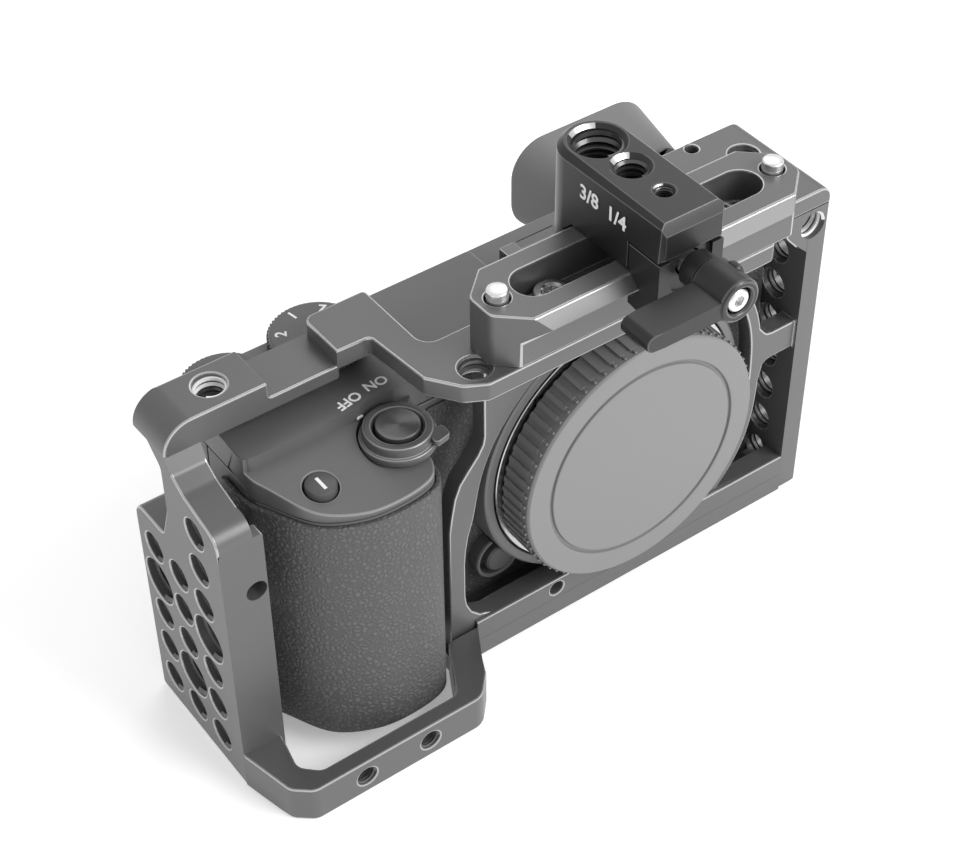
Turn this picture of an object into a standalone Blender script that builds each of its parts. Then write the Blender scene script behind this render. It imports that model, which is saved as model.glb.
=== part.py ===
"""Mirrorless camera in a milled cage with a quick-release rail, a top clamp and a body cap.

Sizes are in millimetres while a piece is drawn, and become metres when it is finished.
X runs along the rig (the grip is at -X), the lens looks along -Y and Z is up.
The origin is the centre of the underside of the whole rig's box.
"""
import math

import bmesh
import bpy
from mathutils import Matrix, Vector

for old in list(bpy.data.objects):
    bpy.data.objects.remove(old)

MM = 0.001
GAP = 0.3

# Cage: overall box, wall thicknesses and tapped holes. A tap radius is that of the drilled core.
LEFT = -68.5
RIGHT = 68.5
CAGE_FRONT = -12.0
FRAME_FRONT = -11.2
FRAME_REAR = -7.3
CAGE_REAR = 19.3
PLATE_TOP = 78.4
PLATE_THICK = 4.0
PLATE_NOSE = -19.2
BASE_THICK = 4.3
SILL_TOP = 9.8
END_INNER = 63.7
SIDE_INNER = -61.5
LOOP_FRONT = -26.6
LOOP_HEIGHT = 8.5
HOLE_PITCH = 8.93
HOLE_FIRST_Z = 6.8
HOLE_COLUMNS = ((-4.0, 7, 3), (4.8, 5, 1), (13.6, 5, 3))
QUARTER_R = 3.1
THREE_EIGHTHS_R = 4.7
QUARTER_TAP_R = 2.65
SMALL_TAP_R = 2.1

# Lens axis, mount and body cap.
LENS_X = 20.5
LENS_Z = 37.5
WINDOW_R = 35.2
WINDOW_SQUEEZE = 3.2
RIB_WIDTH = 2.7
HOUSING_R = 31.3
HOUSING_FRONT = -8.5
MOUNT_R = 28.8
THROAT_R = 22.0
CAP_R = 27.9
CAP_FRONT = -16.9

# Rail on the top plate and its two spring pins.
RAIL_X = 20.45
RAIL_HALF = 35.05
RAIL_Y = -12.4
RAIL_TOP = 89.7
RAIL_WIDE_Z = 87.4
RAIL_FLOOR = 82.8
PIN_OFFSET = 31.1
PIN_R = 2.0
RAIL_SCREW_OFFSET = 19.05

# Clamp that slides along the rail, and its locking lever.
CLAMP_X = 18.7
CLAMP_HALF = 7.1
CLAMP_TOP = 103.9
CLAMP_FRONT = -28.5
CLAMP_REAR = 5.2
LEVER_Z = 93.15
LEVER_FRONT = -40.9
LEVER_TIP_X = -1.0
HUB_R = 4.25

# Camera body.
BODY_LEFT = -56.3
BODY_RIGHT = 63.4
BODY_FRONT = -1.5
BODY_SPLIT = 12.0
BODY_REAR = 23.0
BODY_BOTTOM = 4.6
BODY_SHOULDER = 62.0
BODY_TOP = 68.6
WALL = 1.8
GRIP_TOP_Z = 60.2
GRIP_SLOPE = 0.224
GRIP_SLOPE_Z0 = 66.0
LEATHER_THICK = 0.8
GRIP_CURVE = ((-57.4, 6.0), (-57.4, -1.8), (-55.6, -6.5), (-51.0, -14.9), (-43.4, -19.3),
              (-35.5, -20.2), (-28.5, -19.0), (-25.6, -15.5), (-25.4, -10.5), (-24.3, -6.0),
              (-21.5, -2.9))

# Controls on top: centre x and y. The release button: x and z. Tripod thread: x and y.
# Battery door: left, right, front and rear.
SHUTTER = (-29.0, -8.0)
FUNCTION = (-46.5, -10.0)
MODE_DIAL = (-29.4, 17.1)
CONTROL_DIAL = (-49.6, 14.9)
DIAL_TOP = 71.5
RELEASE = (-4.8, 16.3)
TRIPOD = (20.4, 6.0)
DOOR = (-51.4, -33.8, -9.9, 14.9)

# Rear screen and eyecup: left, right, bottom and top. Hinges: y and z. Buttons: x and z.
SCREEN = (-18.0, 57.0, 8.5, 48.0)
SCREEN_HINGE = (24.2, 9.0)
SCREEN_PIVOT = (25.3, 47.2)
EYECUP = (31.5, 66.0, 50.6, 72.3)
EYECUP_REAR = 40.9
WHEEL = (-40.0, 24.0)
REAR_BUTTONS = {"menu_button": (-29.0, 47.0), "fn_button": (-49.5, 40.0),
                "playback_button": (-29.5, 11.5), "delete_button": (-50.5, 11.5)}

FINISHES = {
    "anodised_grey": ((0.25, 0.25, 0.26), 0.45, 0.9),
    "anodised_black": ((0.03, 0.03, 0.032), 0.4, 0.8),
    "steel": ((0.75, 0.75, 0.76), 0.3, 1.0),
    "spring_steel": ((0.55, 0.55, 0.57), 0.35, 1.0),
    "black_plastic": ((0.06, 0.06, 0.065), 0.55, 0.0),
    "cap_plastic": ((0.38, 0.38, 0.39), 0.6, 0.0),
    "leather": ((0.08, 0.08, 0.085), 0.75, 0.0),
    "rubber": ((0.12, 0.12, 0.125), 0.8, 0.0),
    "glass": ((0.02, 0.02, 0.03), 0.08, 0.0),
    "circuit": ((0.02, 0.14, 0.08), 0.6, 0.0),
    "battery_wrap": ((0.15, 0.15, 0.17), 0.5, 0.0),
}


def finish_material(finish):
    """Principled material of one finish, made the first time it is asked for."""
    material = bpy.data.materials.get(finish)
    if material is None:
        colour, roughness, metallic = FINISHES[finish]
        material = bpy.data.materials.new(finish)
        material.use_nodes = True
        shader = material.node_tree.nodes["Principled BSDF"]
        shader.inputs["Base Color"].default_value = (*colour, 1.0)
        shader.inputs["Roughness"].default_value = roughness
        shader.inputs["Metallic"].default_value = metallic
    return material


def rounded(corners, steps=3):
    """Outline from (a, b, radius) corners; a corner with a radius becomes an arc."""
    outline = []
    for i, (a, b, radius) in enumerate(corners):
        here = Vector((a, b))
        if radius <= 0:
            outline.append(here)
            continue
        before = (Vector(corners[i - 1][:2]) - here).normalized()
        after = (Vector(corners[(i + 1) % len(corners)][:2]) - here).normalized()
        half = before.angle(after) / 2
        centre = here + (before + after).normalized() * radius / math.sin(half)
        start = here + before * radius / math.tan(half) - centre
        end = here + after * radius / math.tan(half) - centre
        turn = math.atan2(start.x * end.y - start.y * end.x, start.dot(end))
        for k in range(steps + 1):
            outline.append(centre + Matrix.Rotation(turn * k / steps, 2) @ start)
    return outline


def rectangle(a0, a1, b0, b1, radius=0.0):
    """Outline of a rectangle with equal corner radii."""
    return rounded(((a0, b0, radius), (a1, b0, radius), (a1, b1, radius), (a0, b1, radius)))


def circle(a, b, radius, steps=16):
    """Outline of a circle."""
    angles = [2 * math.pi * k / steps for k in range(steps)]
    return [Vector((a + radius * math.cos(t), b + radius * math.sin(t))) for t in angles]


def smooth_path(points, steps=3):
    """Catmull-Rom curve through the points, as a list of 2-D vectors."""
    knots = [Vector(p) for p in points]
    knots = [2 * knots[0] - knots[1]] + knots + [2 * knots[-1] - knots[-2]]
    path = []
    for p0, p1, p2, p3 in zip(knots, knots[1:], knots[2:], knots[3:]):
        for k in range(steps):
            t = k / steps
            path.append(0.5 * (2 * p1 + (p2 - p0) * t + (2 * p0 - 5 * p1 + 4 * p2 - p3) * t ** 2
                               + (3 * p1 - p0 - 3 * p2 + p3) * t ** 3))
    path.append(knots[-2])
    return path


def moved_in(path, distance):
    """The path moved to its left-hand side by a distance."""
    shifted = []
    for i, point in enumerate(path):
        along = path[min(i + 1, len(path) - 1)] - path[max(i - 1, 0)]
        shifted.append(point + Vector((-along.y, along.x)).normalized() * distance)
    return shifted


def shape(bm):
    """A working object in millimetres, from a bmesh whose faces are turned outwards."""
    bmesh.ops.recalc_face_normals(bm, faces=bm.faces)
    mesh = bpy.data.meshes.new("shape")
    bm.to_mesh(mesh)
    bm.free()
    obj = bpy.data.objects.new("shape", mesh)
    bpy.context.collection.objects.link(obj)
    return obj


def prism(outline, low, high, axis="Z"):
    """A straight solid on an outline: (x, y) for axis Z, (x, z) for Y, (y, z) for X."""
    place = {"X": lambda a, b, h: (h, a, b),
             "Y": lambda a, b, h: (a, h, b),
             "Z": lambda a, b, h: (a, b, h)}[axis]
    bm = bmesh.new()
    face = bm.faces.new([bm.verts.new(place(p[0], p[1], low)) for p in outline])
    top = bmesh.ops.extrude_face_region(bm, geom=[face])
    raised = [v for v in top["geom"] if isinstance(v, bmesh.types.BMVert)]
    bmesh.ops.translate(bm, verts=raised, vec=place(0, 0, high - low))
    return shape(bm)


def box(x0, x1, y0, y1, z0, z1):
    """A plain box."""
    return prism(rectangle(x0, x1, y0, y1), z0, z1)


def turned(profile, centre, axis="Z", steps=24):
    """A lathe-turned solid: profile of (radius, place along the axis), closed by itself."""
    turn_axis = {"X": Vector((1, 0, 0)), "Y": Vector((0, 1, 0)), "Z": Vector((0, 0, 1))}[axis]
    outward = {"X": Vector((0, 1, 0)), "Y": Vector((1, 0, 0)), "Z": Vector((1, 0, 0))}[axis]
    base = Vector(centre)
    bm = bmesh.new()
    verts = [bm.verts.new(base + outward * r + turn_axis * h) for r, h in profile]
    edges = [bm.edges.new(pair) for pair in zip(verts, verts[1:])]
    if profile[0][0] > 0:
        edges.append(bm.edges.new((verts[-1], verts[0])))
    bmesh.ops.spin(bm, geom=verts + edges, cent=base, axis=turn_axis, angle=2 * math.pi,
                   steps=steps, use_merge=True)
    bmesh.ops.remove_doubles(bm, verts=bm.verts, dist=0.0005)
    return shape(bm)


def disc(centre, radius, low, high, axis="Z", steps=20, edge=0.0):
    """A round button or shaft between two places on its axis, its high edge chamfered."""
    profile = [(0, low), (radius, low), (radius, high - edge)]
    if edge > 0:
        profile.append((radius - edge, high))
    profile.append((0, high))
    return turned(profile, centre, axis, steps)


def combine(base, tools, operation):
    """Boolean of the base with each tool in turn; the tools are used up."""
    for tool in tools:
        modifier = base.modifiers.new("Boolean", "BOOLEAN")
        modifier.operation = operation
        modifier.solver = "EXACT"
        modifier.object = tool
        depsgraph = bpy.context.evaluated_depsgraph_get()
        mesh = bpy.data.meshes.new_from_object(base.evaluated_get(depsgraph))
        base.modifiers.clear()
        base.data = mesh
        bpy.data.objects.remove(tool)
    return base


def cut(base, *tools):
    """The base with the tools cut away."""
    return combine(base, tools, "DIFFERENCE")


def joined(base, *tools):
    """The base and the tools as one body."""
    return combine(base, tools, "UNION")


def common(base, *tools):
    """What the base and the tools share."""
    return combine(base, tools, "INTERSECT")


def hole(a, b, radius, low, high, axis, steps=12):
    """A round cutter through the point (a, b) of the plane that the axis stands on."""
    return prism(circle(a, b, radius, steps), low, high, axis)


def finished(obj, name, finish, pivot=(0, 0, 0), smooth=False):
    """Name the piece, bring it to metres, put its origin on its pivot and give its finish."""
    obj.name = name
    mesh = obj.data
    mesh.name = name
    mesh.transform(Matrix.Scale(MM, 4) @ Matrix.Translation(-Vector(pivot)))
    obj.location = Vector(pivot) * MM
    mesh.materials.clear()
    mesh.materials.append(finish_material(finish))
    if smooth:
        mesh.shade_smooth()
        mesh.set_sharp_from_angle(angle=math.radians(35))
    return obj


def grid_holes(columns, low, high):
    """Cutters for the side plate's columns of small and large tapped holes."""
    cutters = []
    for y, count, large in columns:
        for row in range(count):
            radius = THREE_EIGHTHS_R if row == large else QUARTER_R
            z = HOLE_FIRST_Z + HOLE_PITCH * row
            cutters.append(hole(y, z, radius, low, high, "X"))
    return cutters


def make_top_plate():
    """Top plate with its stepped nose, left lobe and rear cut-out for the shoe and flash."""
    outline = rounded((
        (-33.3, 14.6, 2), (-33.3, 3.8, 2), (-26.8, 3.2, 1), (-25.5, -11.2, 1.5),
        (-21.3, -17.0, 1.5), (-17.2, PLATE_NOSE, 1.5), (48.2, PLATE_NOSE, 1.5),
        (48.2, CAGE_FRONT, 0), (RIGHT, CAGE_FRONT, 0), (RIGHT, 14.6, 1.5), (44.5, 14.6, 2),
        (44.5, -4.3, 3), (-20.4, -4.3, 3), (-20.4, 14.6, 1)))
    plate = prism(outline, PLATE_TOP - PLATE_THICK, PLATE_TOP)
    bottom = PLATE_TOP - PLATE_THICK - 1
    top = PLATE_TOP + 1
    holes = [hole(-16.7, -14.2, QUARTER_TAP_R, bottom, top, "Z"),
             hole(54.5, 12.7, 1.3, bottom, top, "Z"),
             hole(61.5, 5.5, QUARTER_R, bottom, top, "Z")]
    for side in (-1, 1):
        x = RAIL_X + side * RAIL_SCREW_OFFSET
        holes.append(hole(x, RAIL_Y, 1.8, bottom, top, "Z"))
    edge_r = 2.8
    corner = prism(rectangle(RIGHT - edge_r, RIGHT + 1, PLATE_TOP - edge_r, PLATE_TOP + 1),
                   -40, 40, "Y")
    round_bar = hole(RIGHT - edge_r, PLATE_TOP - edge_r, edge_r, -41, 41, "Y", 24)
    cut(plate, cut(corner, round_bar), *holes)
    finished(plate, "cage_top_plate", "anodised_grey")


def make_tab():
    """Raised tab over the side plate, with the lower web that joins it to the top plate."""
    outline = rounded(((LEFT, 72.2, 0), (-33.6, 72.2, 0), (-33.6, 75.0, 0), (-47.6, 75.0, 0.4),
                       (-47.6, PLATE_TOP, 0.4), (LEFT, PLATE_TOP, 5.9)), 5)
    tab = prism(outline, 3.4, 14.2, "Y")
    cut(tab, hole(-55.8, 9.1, QUARTER_TAP_R, 70, 80, "Z"))
    finished(tab, "cage_tab", "anodised_grey")


def make_side_plate():
    """Perforated side plate that narrows into the arm carrying the tab."""
    outline = rounded(((CAGE_FRONT, 0, 0), (CAGE_REAR, 0, 1), (CAGE_REAR, 50, 3), (8.8, 50, 1),
                       (5.9, 58, 3), (5.9, 68.6, 2), (9.6, 71.9, 0), (2.0, 71.9, 0),
                       (1.6, 69.6, 2), (-1.5, 67.5, 3), (-7.5, 65.8, 6), (CAGE_FRONT, 64.6, 2)))
    plate = prism(outline, LEFT, SIDE_INNER, "X")
    strip = prism(rectangle(CAGE_FRONT, -9.0, 0, 62.0), SIDE_INNER - 0.5, -59.6, "X")
    joined(plate, strip)
    cut(plate, *grid_holes(HOLE_COLUMNS, LEFT - 1, -58.0))
    cut(plate, hole(-61.9, 49.1, SMALL_TAP_R, CAGE_FRONT - 1, CAGE_FRONT + 6, "Y"))
    finished(plate, "cage_side_plate", "anodised_grey")


def make_grip_loop():
    """Bar that loops round under the grip and keeps the battery door free."""
    back = CAGE_FRONT - GAP
    inner = LOOP_FRONT + 3.4
    outline = rounded(((LEFT, back, 0), (-65.8, -23.6, 2), (-62.2, LOOP_FRONT, 3),
                       (-24.6, LOOP_FRONT, 3), (-20.6, -22.2, 2), (-15.2, back, 0),
                       (-22.2, back, 0), (-28.4, inner, 0.8), (-58.6, inner, 2),
                       (-61.8, -20.0, 2), (-60.2, back, 0)))
    loop = prism(outline, 0, LOOP_HEIGHT)
    cut(loop, *[hole(x, 4.3, SMALL_TAP_R, LOOP_FRONT - 1, inner + 1, "Y") for x in (-51.0, -36.7)])
    finished(loop, "cage_grip_loop", "anodised_grey")


def make_base():
    """Base plate under the camera, with the rear bar behind the battery door."""
    bar_front = 15.6
    outline = rounded(((-22.2, CAGE_FRONT, 0), (RIGHT - 5.1, CAGE_FRONT, 0),
                       (RIGHT - 5.1, CAGE_REAR, 0), (SIDE_INNER + GAP, CAGE_REAR, 0),
                       (SIDE_INNER + GAP, bar_front, 0), (-22.2, bar_front, 2)))
    base = prism(outline, 0, BASE_THICK)
    counterbore = hole(*TRIPOD, 7.0, -1, 2.5, "Z", 20)
    holes = [hole(x, 3.0, QUARTER_TAP_R, -1, 6, "Z") for x in (-8.0, 46.0)]
    cut(base, counterbore, hole(*TRIPOD, 3.4, -1, 6, "Z", 16), *holes)
    finished(base, "cage_base", "anodised_grey")


def window_radius(angle):
    """Radius of the lens window's edge, drawn in a little towards the end plate."""
    return WINDOW_R - WINDOW_SQUEEZE * max(math.cos(angle), 0.0) ** 8


def ring_points(extra, start, end, steps):
    """Points along the window's edge, moved out by extra, between two angles in degrees."""
    points = []
    for k in range(steps + 1):
        angle = math.radians(start + (end - start) * k / steps)
        radius = window_radius(angle) + extra
        points.append((LENS_X + radius * math.cos(angle), LENS_Z + radius * math.sin(angle)))
    return points


def make_front_frame():
    """Front frame: sill, left strut, ring round the lens and the bridge to the end plate."""
    right = END_INNER - GAP
    top = PLATE_TOP - PLATE_THICK - GAP
    low = BASE_THICK + GAP
    outer = [(-20.9, low), (right, low), (right, SILL_TOP)]
    outer += ring_points(RIB_WIDTH, -47, -2, 6)
    outer += [(56.6, 39.6), (58.2, 39.9), (right, 39.9), (right, 46.6), (57.4, 46.6), (55.8, 47.3)]
    outer += ring_points(RIB_WIDTH, 19, 74, 7)
    outer += [(29.0, top), (-12.7, top), (-12.7, 56.5), (-14.2, 53.4), (-18.3, 48.3),
              (-19.9, 43.0), (-20.9, 37.0)]
    frame = prism(outer, FRAME_FRONT, FRAME_REAR, "Y")
    opening = ring_points(0, -51.5, 172, 20)
    opening += [(-16.0, 35.5), (-17.3, 29.0), (-17.3, 17.0), (-15.2, 11.8), (-10.3, SILL_TOP)]
    cut(frame, prism(opening, -14, -5, "Y"), hole(LENS_X, LENS_Z, CAP_R + 0.5, -14, -5, "Y", 48),
        hole(LENS_X, LENS_Z, HOUSING_R + 0.4, -9.2, -5, "Y", 48))
    cut(frame, *[hole(x, 7.2, 1.5, -14, -8.5, "Y") for x in (4.3, 30.9)])
    finished(frame, "cage_front_frame", "anodised_grey")


def make_end_plate():
    """End plate on the connector side, with its column of tapped holes and corner block."""
    top = PLATE_TOP - PLATE_THICK - GAP
    plate = prism(rounded(((CAGE_FRONT, 0, 1), (14.6, 0, 2), (14.6, top, 0),
                           (CAGE_FRONT, top, 0))), END_INNER, RIGHT, "X")
    block = prism(rounded(((END_INNER + 1, 61.6, 0), (END_INNER + 1, top, 0), (57.8, top, 0),
                           (57.8, 70.0, 1), (60.6, 66.8, 1.5), (END_INNER - 0.2, 64.6, 1))),
                  CAGE_FRONT, -6.8, "Y")
    joined(plate, block)
    cut(plate, *[hole(-4.0, HOLE_FIRST_Z + HOLE_PITCH * row, QUARTER_TAP_R, 60, 70, "X")
                 for row in range(7)])
    cut(plate, hole(64.6, 70.4, QUARTER_R, CAGE_FRONT - 1, -2.0, "Y", 16))
    finished(plate, "cage_end_plate", "anodised_grey")


def make_rail():
    """Quick-release rail: dovetail section, chamfered ends, long slot and two pin holes."""
    left = RAIL_X - RAIL_HALF
    right = RAIL_X + RAIL_HALF
    bottom = PLATE_TOP + GAP
    section = ((-20.6, RAIL_TOP), (-22.8, RAIL_WIDE_Z), (-19.2, 83.8), (-19.2, bottom),
               (-5.6, bottom), (-5.6, 83.8), (-2.0, RAIL_WIDE_Z), (-4.3, RAIL_TOP))
    rail = prism(section, left, right, "X")
    plan = rounded(((left, -15.5, 1), (left + 6.0, -21.0, 1.5), (left + 8.2, -23.0, 1.5),
                    (right - 8.2, -23.0, 1.5), (right - 6.0, -21.0, 1.5), (right, -15.5, 1),
                    (right, -9.5, 1), (right - 8.5, -1.8, 1.5), (left + 8.5, -1.8, 1.5),
                    (left, -9.5, 1)))
    common(rail, prism(plan, bottom - 1, RAIL_TOP + 1))
    slot_r = 3.95
    slot = rectangle(left + 7.6, right - 7.6, RAIL_Y - slot_r, RAIL_Y + slot_r, slot_r - 0.05)
    cut(rail, prism(slot, RAIL_FLOOR, RAIL_TOP + 1))
    for side in (-1, 1):
        cut(rail, hole(RAIL_X + side * RAIL_SCREW_OFFSET, RAIL_Y, 1.8, 70, 95, "Z"),
            hole(RAIL_X + side * PIN_OFFSET, RAIL_Y, PIN_R + 0.3, bottom + 1.0, 95, "Z"))
    finished(rail, "quick_release_rail", "anodised_grey")


def make_rail_fittings():
    """Socket screws that hold the rail, and the spring pins that stop the clamp."""
    for side, word in ((-1, "left"), (1, "right")):
        x = RAIL_X + side * RAIL_SCREW_OFFSET
        seat = RAIL_FLOOR + 0.2
        head = turned(((0, 74.9), (1.5, 74.9), (1.5, seat), (3.6, seat), (3.6, 85.1),
                       (3.3, 85.4), (0, 85.4)), (x, RAIL_Y, 0), steps=16)
        cut(head, hole(x, RAIL_Y, 1.8, 83.8, 87, "Z", 6))
        finished(head, f"rail_screw_{word}", "steel", (x, RAIL_Y, seat), smooth=True)
        x = RAIL_X + side * PIN_OFFSET
        pin = disc((x, RAIL_Y, 0), PIN_R, 83.6, 91.7, edge=0.3)
        finished(pin, f"rail_pin_{word}", "steel", (x, RAIL_Y, 91.7), smooth=True)
        spring = turned(((1.1, 79.8), (1.8, 79.8), (1.8, 83.5), (1.1, 83.5)), (x, RAIL_Y, 0),
                        steps=12)
        finished(spring, f"pin_spring_{word}", "spring_steel", (x, RAIL_Y, 79.8))


def make_clamp_body():
    """Clamp body: sits on the rail, hooks under its rear edge and carries accessory threads."""
    outline = rounded(((CLAMP_FRONT, 95.9, 0), (CLAMP_FRONT, CLAMP_TOP, 1.2),
                       (CLAMP_REAR, CLAMP_TOP, 0.6), (CLAMP_REAR, 87.6, 1.5), (1.0, 83.2, 1),
                       (-4.2, 83.2, 0.3), (-4.6, 84.4, 0), (-1.6, RAIL_WIDE_Z, 0), (-4.2, 90.0, 0),
                       (-19.6, 90.0, 0), (-19.6, 95.9, 0)), 2)
    body = prism(outline, CLAMP_X - CLAMP_HALF, CLAMP_X + CLAMP_HALF, "X")
    plan = rounded(((CLAMP_X - CLAMP_HALF, CLAMP_FRONT, 1.2),
                    (CLAMP_X + CLAMP_HALF, CLAMP_FRONT, 1.2),
                    (CLAMP_X + CLAMP_HALF, CLAMP_REAR, CLAMP_HALF - 0.05),
                    (CLAMP_X - CLAMP_HALF, CLAMP_REAR, CLAMP_HALF - 0.05)), 5)
    common(body, prism(plan, 80, 110))
    cut(body, hole(CLAMP_X, -2.0, 4.2, 92.5, 105, "Z", 20),
        hole(CLAMP_X, -11.3, QUARTER_TAP_R, 97.0, 105, "Z", 16),
        hole(CLAMP_X, -20.1, 1.75, 99.9, 105, "Z"),
        hole(CLAMP_X, LEVER_Z, 2.7, -25, -7.2, "Y", 16))
    finished(body, "clamp_body", "anodised_black", (CLAMP_X, RAIL_Y, 90.0))


def make_clamp_jaw():
    """Front jaw, drawn under the rail's front edge by the lever's screw."""
    outline = rounded(((-19.95, 95.6, 0), (-28.2, 95.6, 0.4), (-28.2, 85.6, 1.5),
                       (-26.4, 82.5, 0.8), (-24.0, 82.5, 0), (-20.3, 83.0, 0), (-20.2, 84.3, 0),
                       (-23.25, RAIL_WIDE_Z, 0), (-20.6, 90.05, 0), (-19.95, 90.7, 0)), 2)
    jaw = prism(outline, CLAMP_X - CLAMP_HALF, CLAMP_X + CLAMP_HALF, "X")
    cut(jaw, hole(CLAMP_X, LEVER_Z, 2.7, -30, -18, "Y", 16))
    finished(jaw, "clamp_jaw", "anodised_black", (CLAMP_X, -24.0, LEVER_Z))


def make_lever():
    """Screw with its retaining head, the lever that turns it and the lever's spring."""
    axis = (CLAMP_X, 0, LEVER_Z)
    screw = turned(((0, -7.6), (2.3, -7.6), (2.3, -35.0), (1.3, -35.0), (1.3, -37.9),
                    (2.2, -37.9), (2.2, -40.6), (0, -40.6)), axis, "Y", 16)
    cut(screw, hole(CLAMP_X, LEVER_Z, 1.1, -42, -38.8, "Y", 6))
    finished(screw, "clamp_screw", "steel", axis, smooth=True)
    hub = turned(((2.6, -28.8), (3.6, -28.8), (HUB_R, -29.6), (HUB_R, -40.6),
                  (HUB_R - 0.3, LEVER_FRONT), (2.6, LEVER_FRONT)), axis, "Y", 24)
    arm = prism(rounded(((CLAMP_X - 2.7, 94.6, 0), (LEVER_TIP_X, 94.6, 1.6),
                         (LEVER_TIP_X, 91.2, 1.6), (CLAMP_X - 4.0, 90.9, 1),
                         (CLAMP_X - 1.0, 89.6, 0), (CLAMP_X - 3.0, 91.0, 0),
                         (CLAMP_X - 3.1, 93.0, 0))), -40.6, -33.4, "Y")
    boss = disc((CLAMP_X + 2.6, 0, LEVER_Z + 2.6), 1.3, -37.4, -34.6, "Y", 12)
    joined(hub, arm, boss)
    finished(hub, "clamp_lever", "anodised_black", (CLAMP_X, LEVER_FRONT, LEVER_Z))
    spring = turned(((1.5, -37.6), (2.2, -37.6), (2.2, -35.4), (1.5, -35.4)), axis, "Y", 12)
    finished(spring, "lever_spring", "spring_steel", (CLAMP_X, -35.4, LEVER_Z))


def grip_outline(inset):
    """Open plan curve of the grip, from its left rear round to its right, moved in by inset."""
    return moved_in(smooth_path(GRIP_CURVE), inset)


def make_front_cover():
    """Front half of the camera case with the hollow grip."""
    case = box(BODY_LEFT, BODY_RIGHT, BODY_FRONT, BODY_SPLIT, BODY_BOTTOM, BODY_SHOULDER)
    skin = LEATHER_THICK + GAP
    grip = grip_outline(skin) + [Vector((-22.0, 0.5)), Vector((-22.0, 6.0))]
    joined(case, prism(grip, BODY_BOTTOM, GRIP_TOP_Z))
    cavity = box(BODY_LEFT + WALL, BODY_RIGHT - WALL, BODY_FRONT + WALL, BODY_SPLIT + 1,
                 BODY_BOTTOM + WALL, BODY_SHOULDER + 1)
    bay = [p for p in grip_outline(skin + WALL) if p.x < -26.5]
    bay += [Vector((-27.5, 2.0)), Vector((bay[0].x, 2.0))]
    cut(case, cavity, prism(bay, BODY_BOTTOM + WALL, GRIP_TOP_Z - WALL))
    cut(case, hole(LENS_X, LENS_Z, THROAT_R + 0.3, BODY_FRONT - 1, 2, "Y", 32),
        box(DOOR[0] - GAP, DOOR[1] + GAP, DOOR[2] - GAP, BODY_SPLIT + 1,
            BODY_BOTTOM - 1, BODY_BOTTOM + WALL + 1),
        hole(*TRIPOD, 5.0, BODY_BOTTOM - 1, 8, "Z", 20),
        hole(*RELEASE, 2.6, BODY_FRONT - 1, 2, "Y", 16))
    finished(case, "front_cover", "black_plastic")


def make_rear_cover():
    """Rear half of the camera case."""
    front = BODY_SPLIT + GAP
    case = box(BODY_LEFT, BODY_RIGHT, front, BODY_REAR, BODY_BOTTOM, BODY_SHOULDER)
    cut(case, box(BODY_LEFT + WALL, BODY_RIGHT - WALL, front - 1, BODY_REAR - WALL,
                  BODY_BOTTOM + WALL, BODY_SHOULDER + 1))
    cut(case, box(DOOR[0] - GAP, DOOR[1] + GAP, front - 1, DOOR[3] + GAP,
                  BODY_BOTTOM - 1, BODY_BOTTOM + WALL + 1))
    cut(case, *[hole(x, z, 2.4, 20, 24, "Y") for x, z in REAR_BUTTONS.values()])
    cut(case, hole(*WHEEL, 3.2, 20, 24, "Y", 16))
    finished(case, "rear_cover", "black_plastic")


def grip_top(y):
    """Height of the sloping top of the grip at a depth y."""
    return GRIP_SLOPE_Z0 + GRIP_SLOPE * y


def make_top_cover():
    """Top cover with the sloping shutter deck over the grip."""
    low = BODY_SHOULDER + GAP
    cover = prism(rectangle(BODY_LEFT, BODY_RIGHT, BODY_FRONT, BODY_REAR, 1.5), low, BODY_TOP)
    deck = grip_outline(LEATHER_THICK + GAP) + [Vector((-22.0, -1.0))]
    deck = prism(deck + [Vector((-56.0, 2.0))], GRIP_TOP_Z + GAP, BODY_TOP - 0.1)
    slope = prism(((-30, grip_top(-30)), (BODY_FRONT + 0.4, grip_top(BODY_FRONT)),
                   (BODY_FRONT + 0.4, 80), (-30, 80)), -70, -10, "X")
    under = box(-70, -10, BODY_FRONT - GAP, 10, 55, low)
    cut(deck, slope, under)
    joined(cover, deck)
    cut(cover, box(BODY_LEFT + WALL, BODY_RIGHT - WALL, BODY_FRONT + WALL, BODY_REAR - WALL,
                   low - 1, BODY_TOP - 1.4),
        hole(*SHUTTER, 7.4, 63.2, 72, "Z", 24), hole(*SHUTTER, 2.2, 61.2, 72, "Z"),
        hole(*FUNCTION, 3.2, 61.6, 72, "Z", 16))
    for x, y in (MODE_DIAL, CONTROL_DIAL):
        cut(cover, hole(x, y, 2.3, 66, 70, "Z", 16))
    finished(cover, "top_cover", "black_plastic")


def make_grip_leather():
    """Leather wrap round the grip."""
    outer = grip_outline(0.0)
    inner = grip_outline(LEATHER_THICK)
    finished(prism(outer + inner[::-1], 5.4, 60.0), "grip_leather", "leather")


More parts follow.
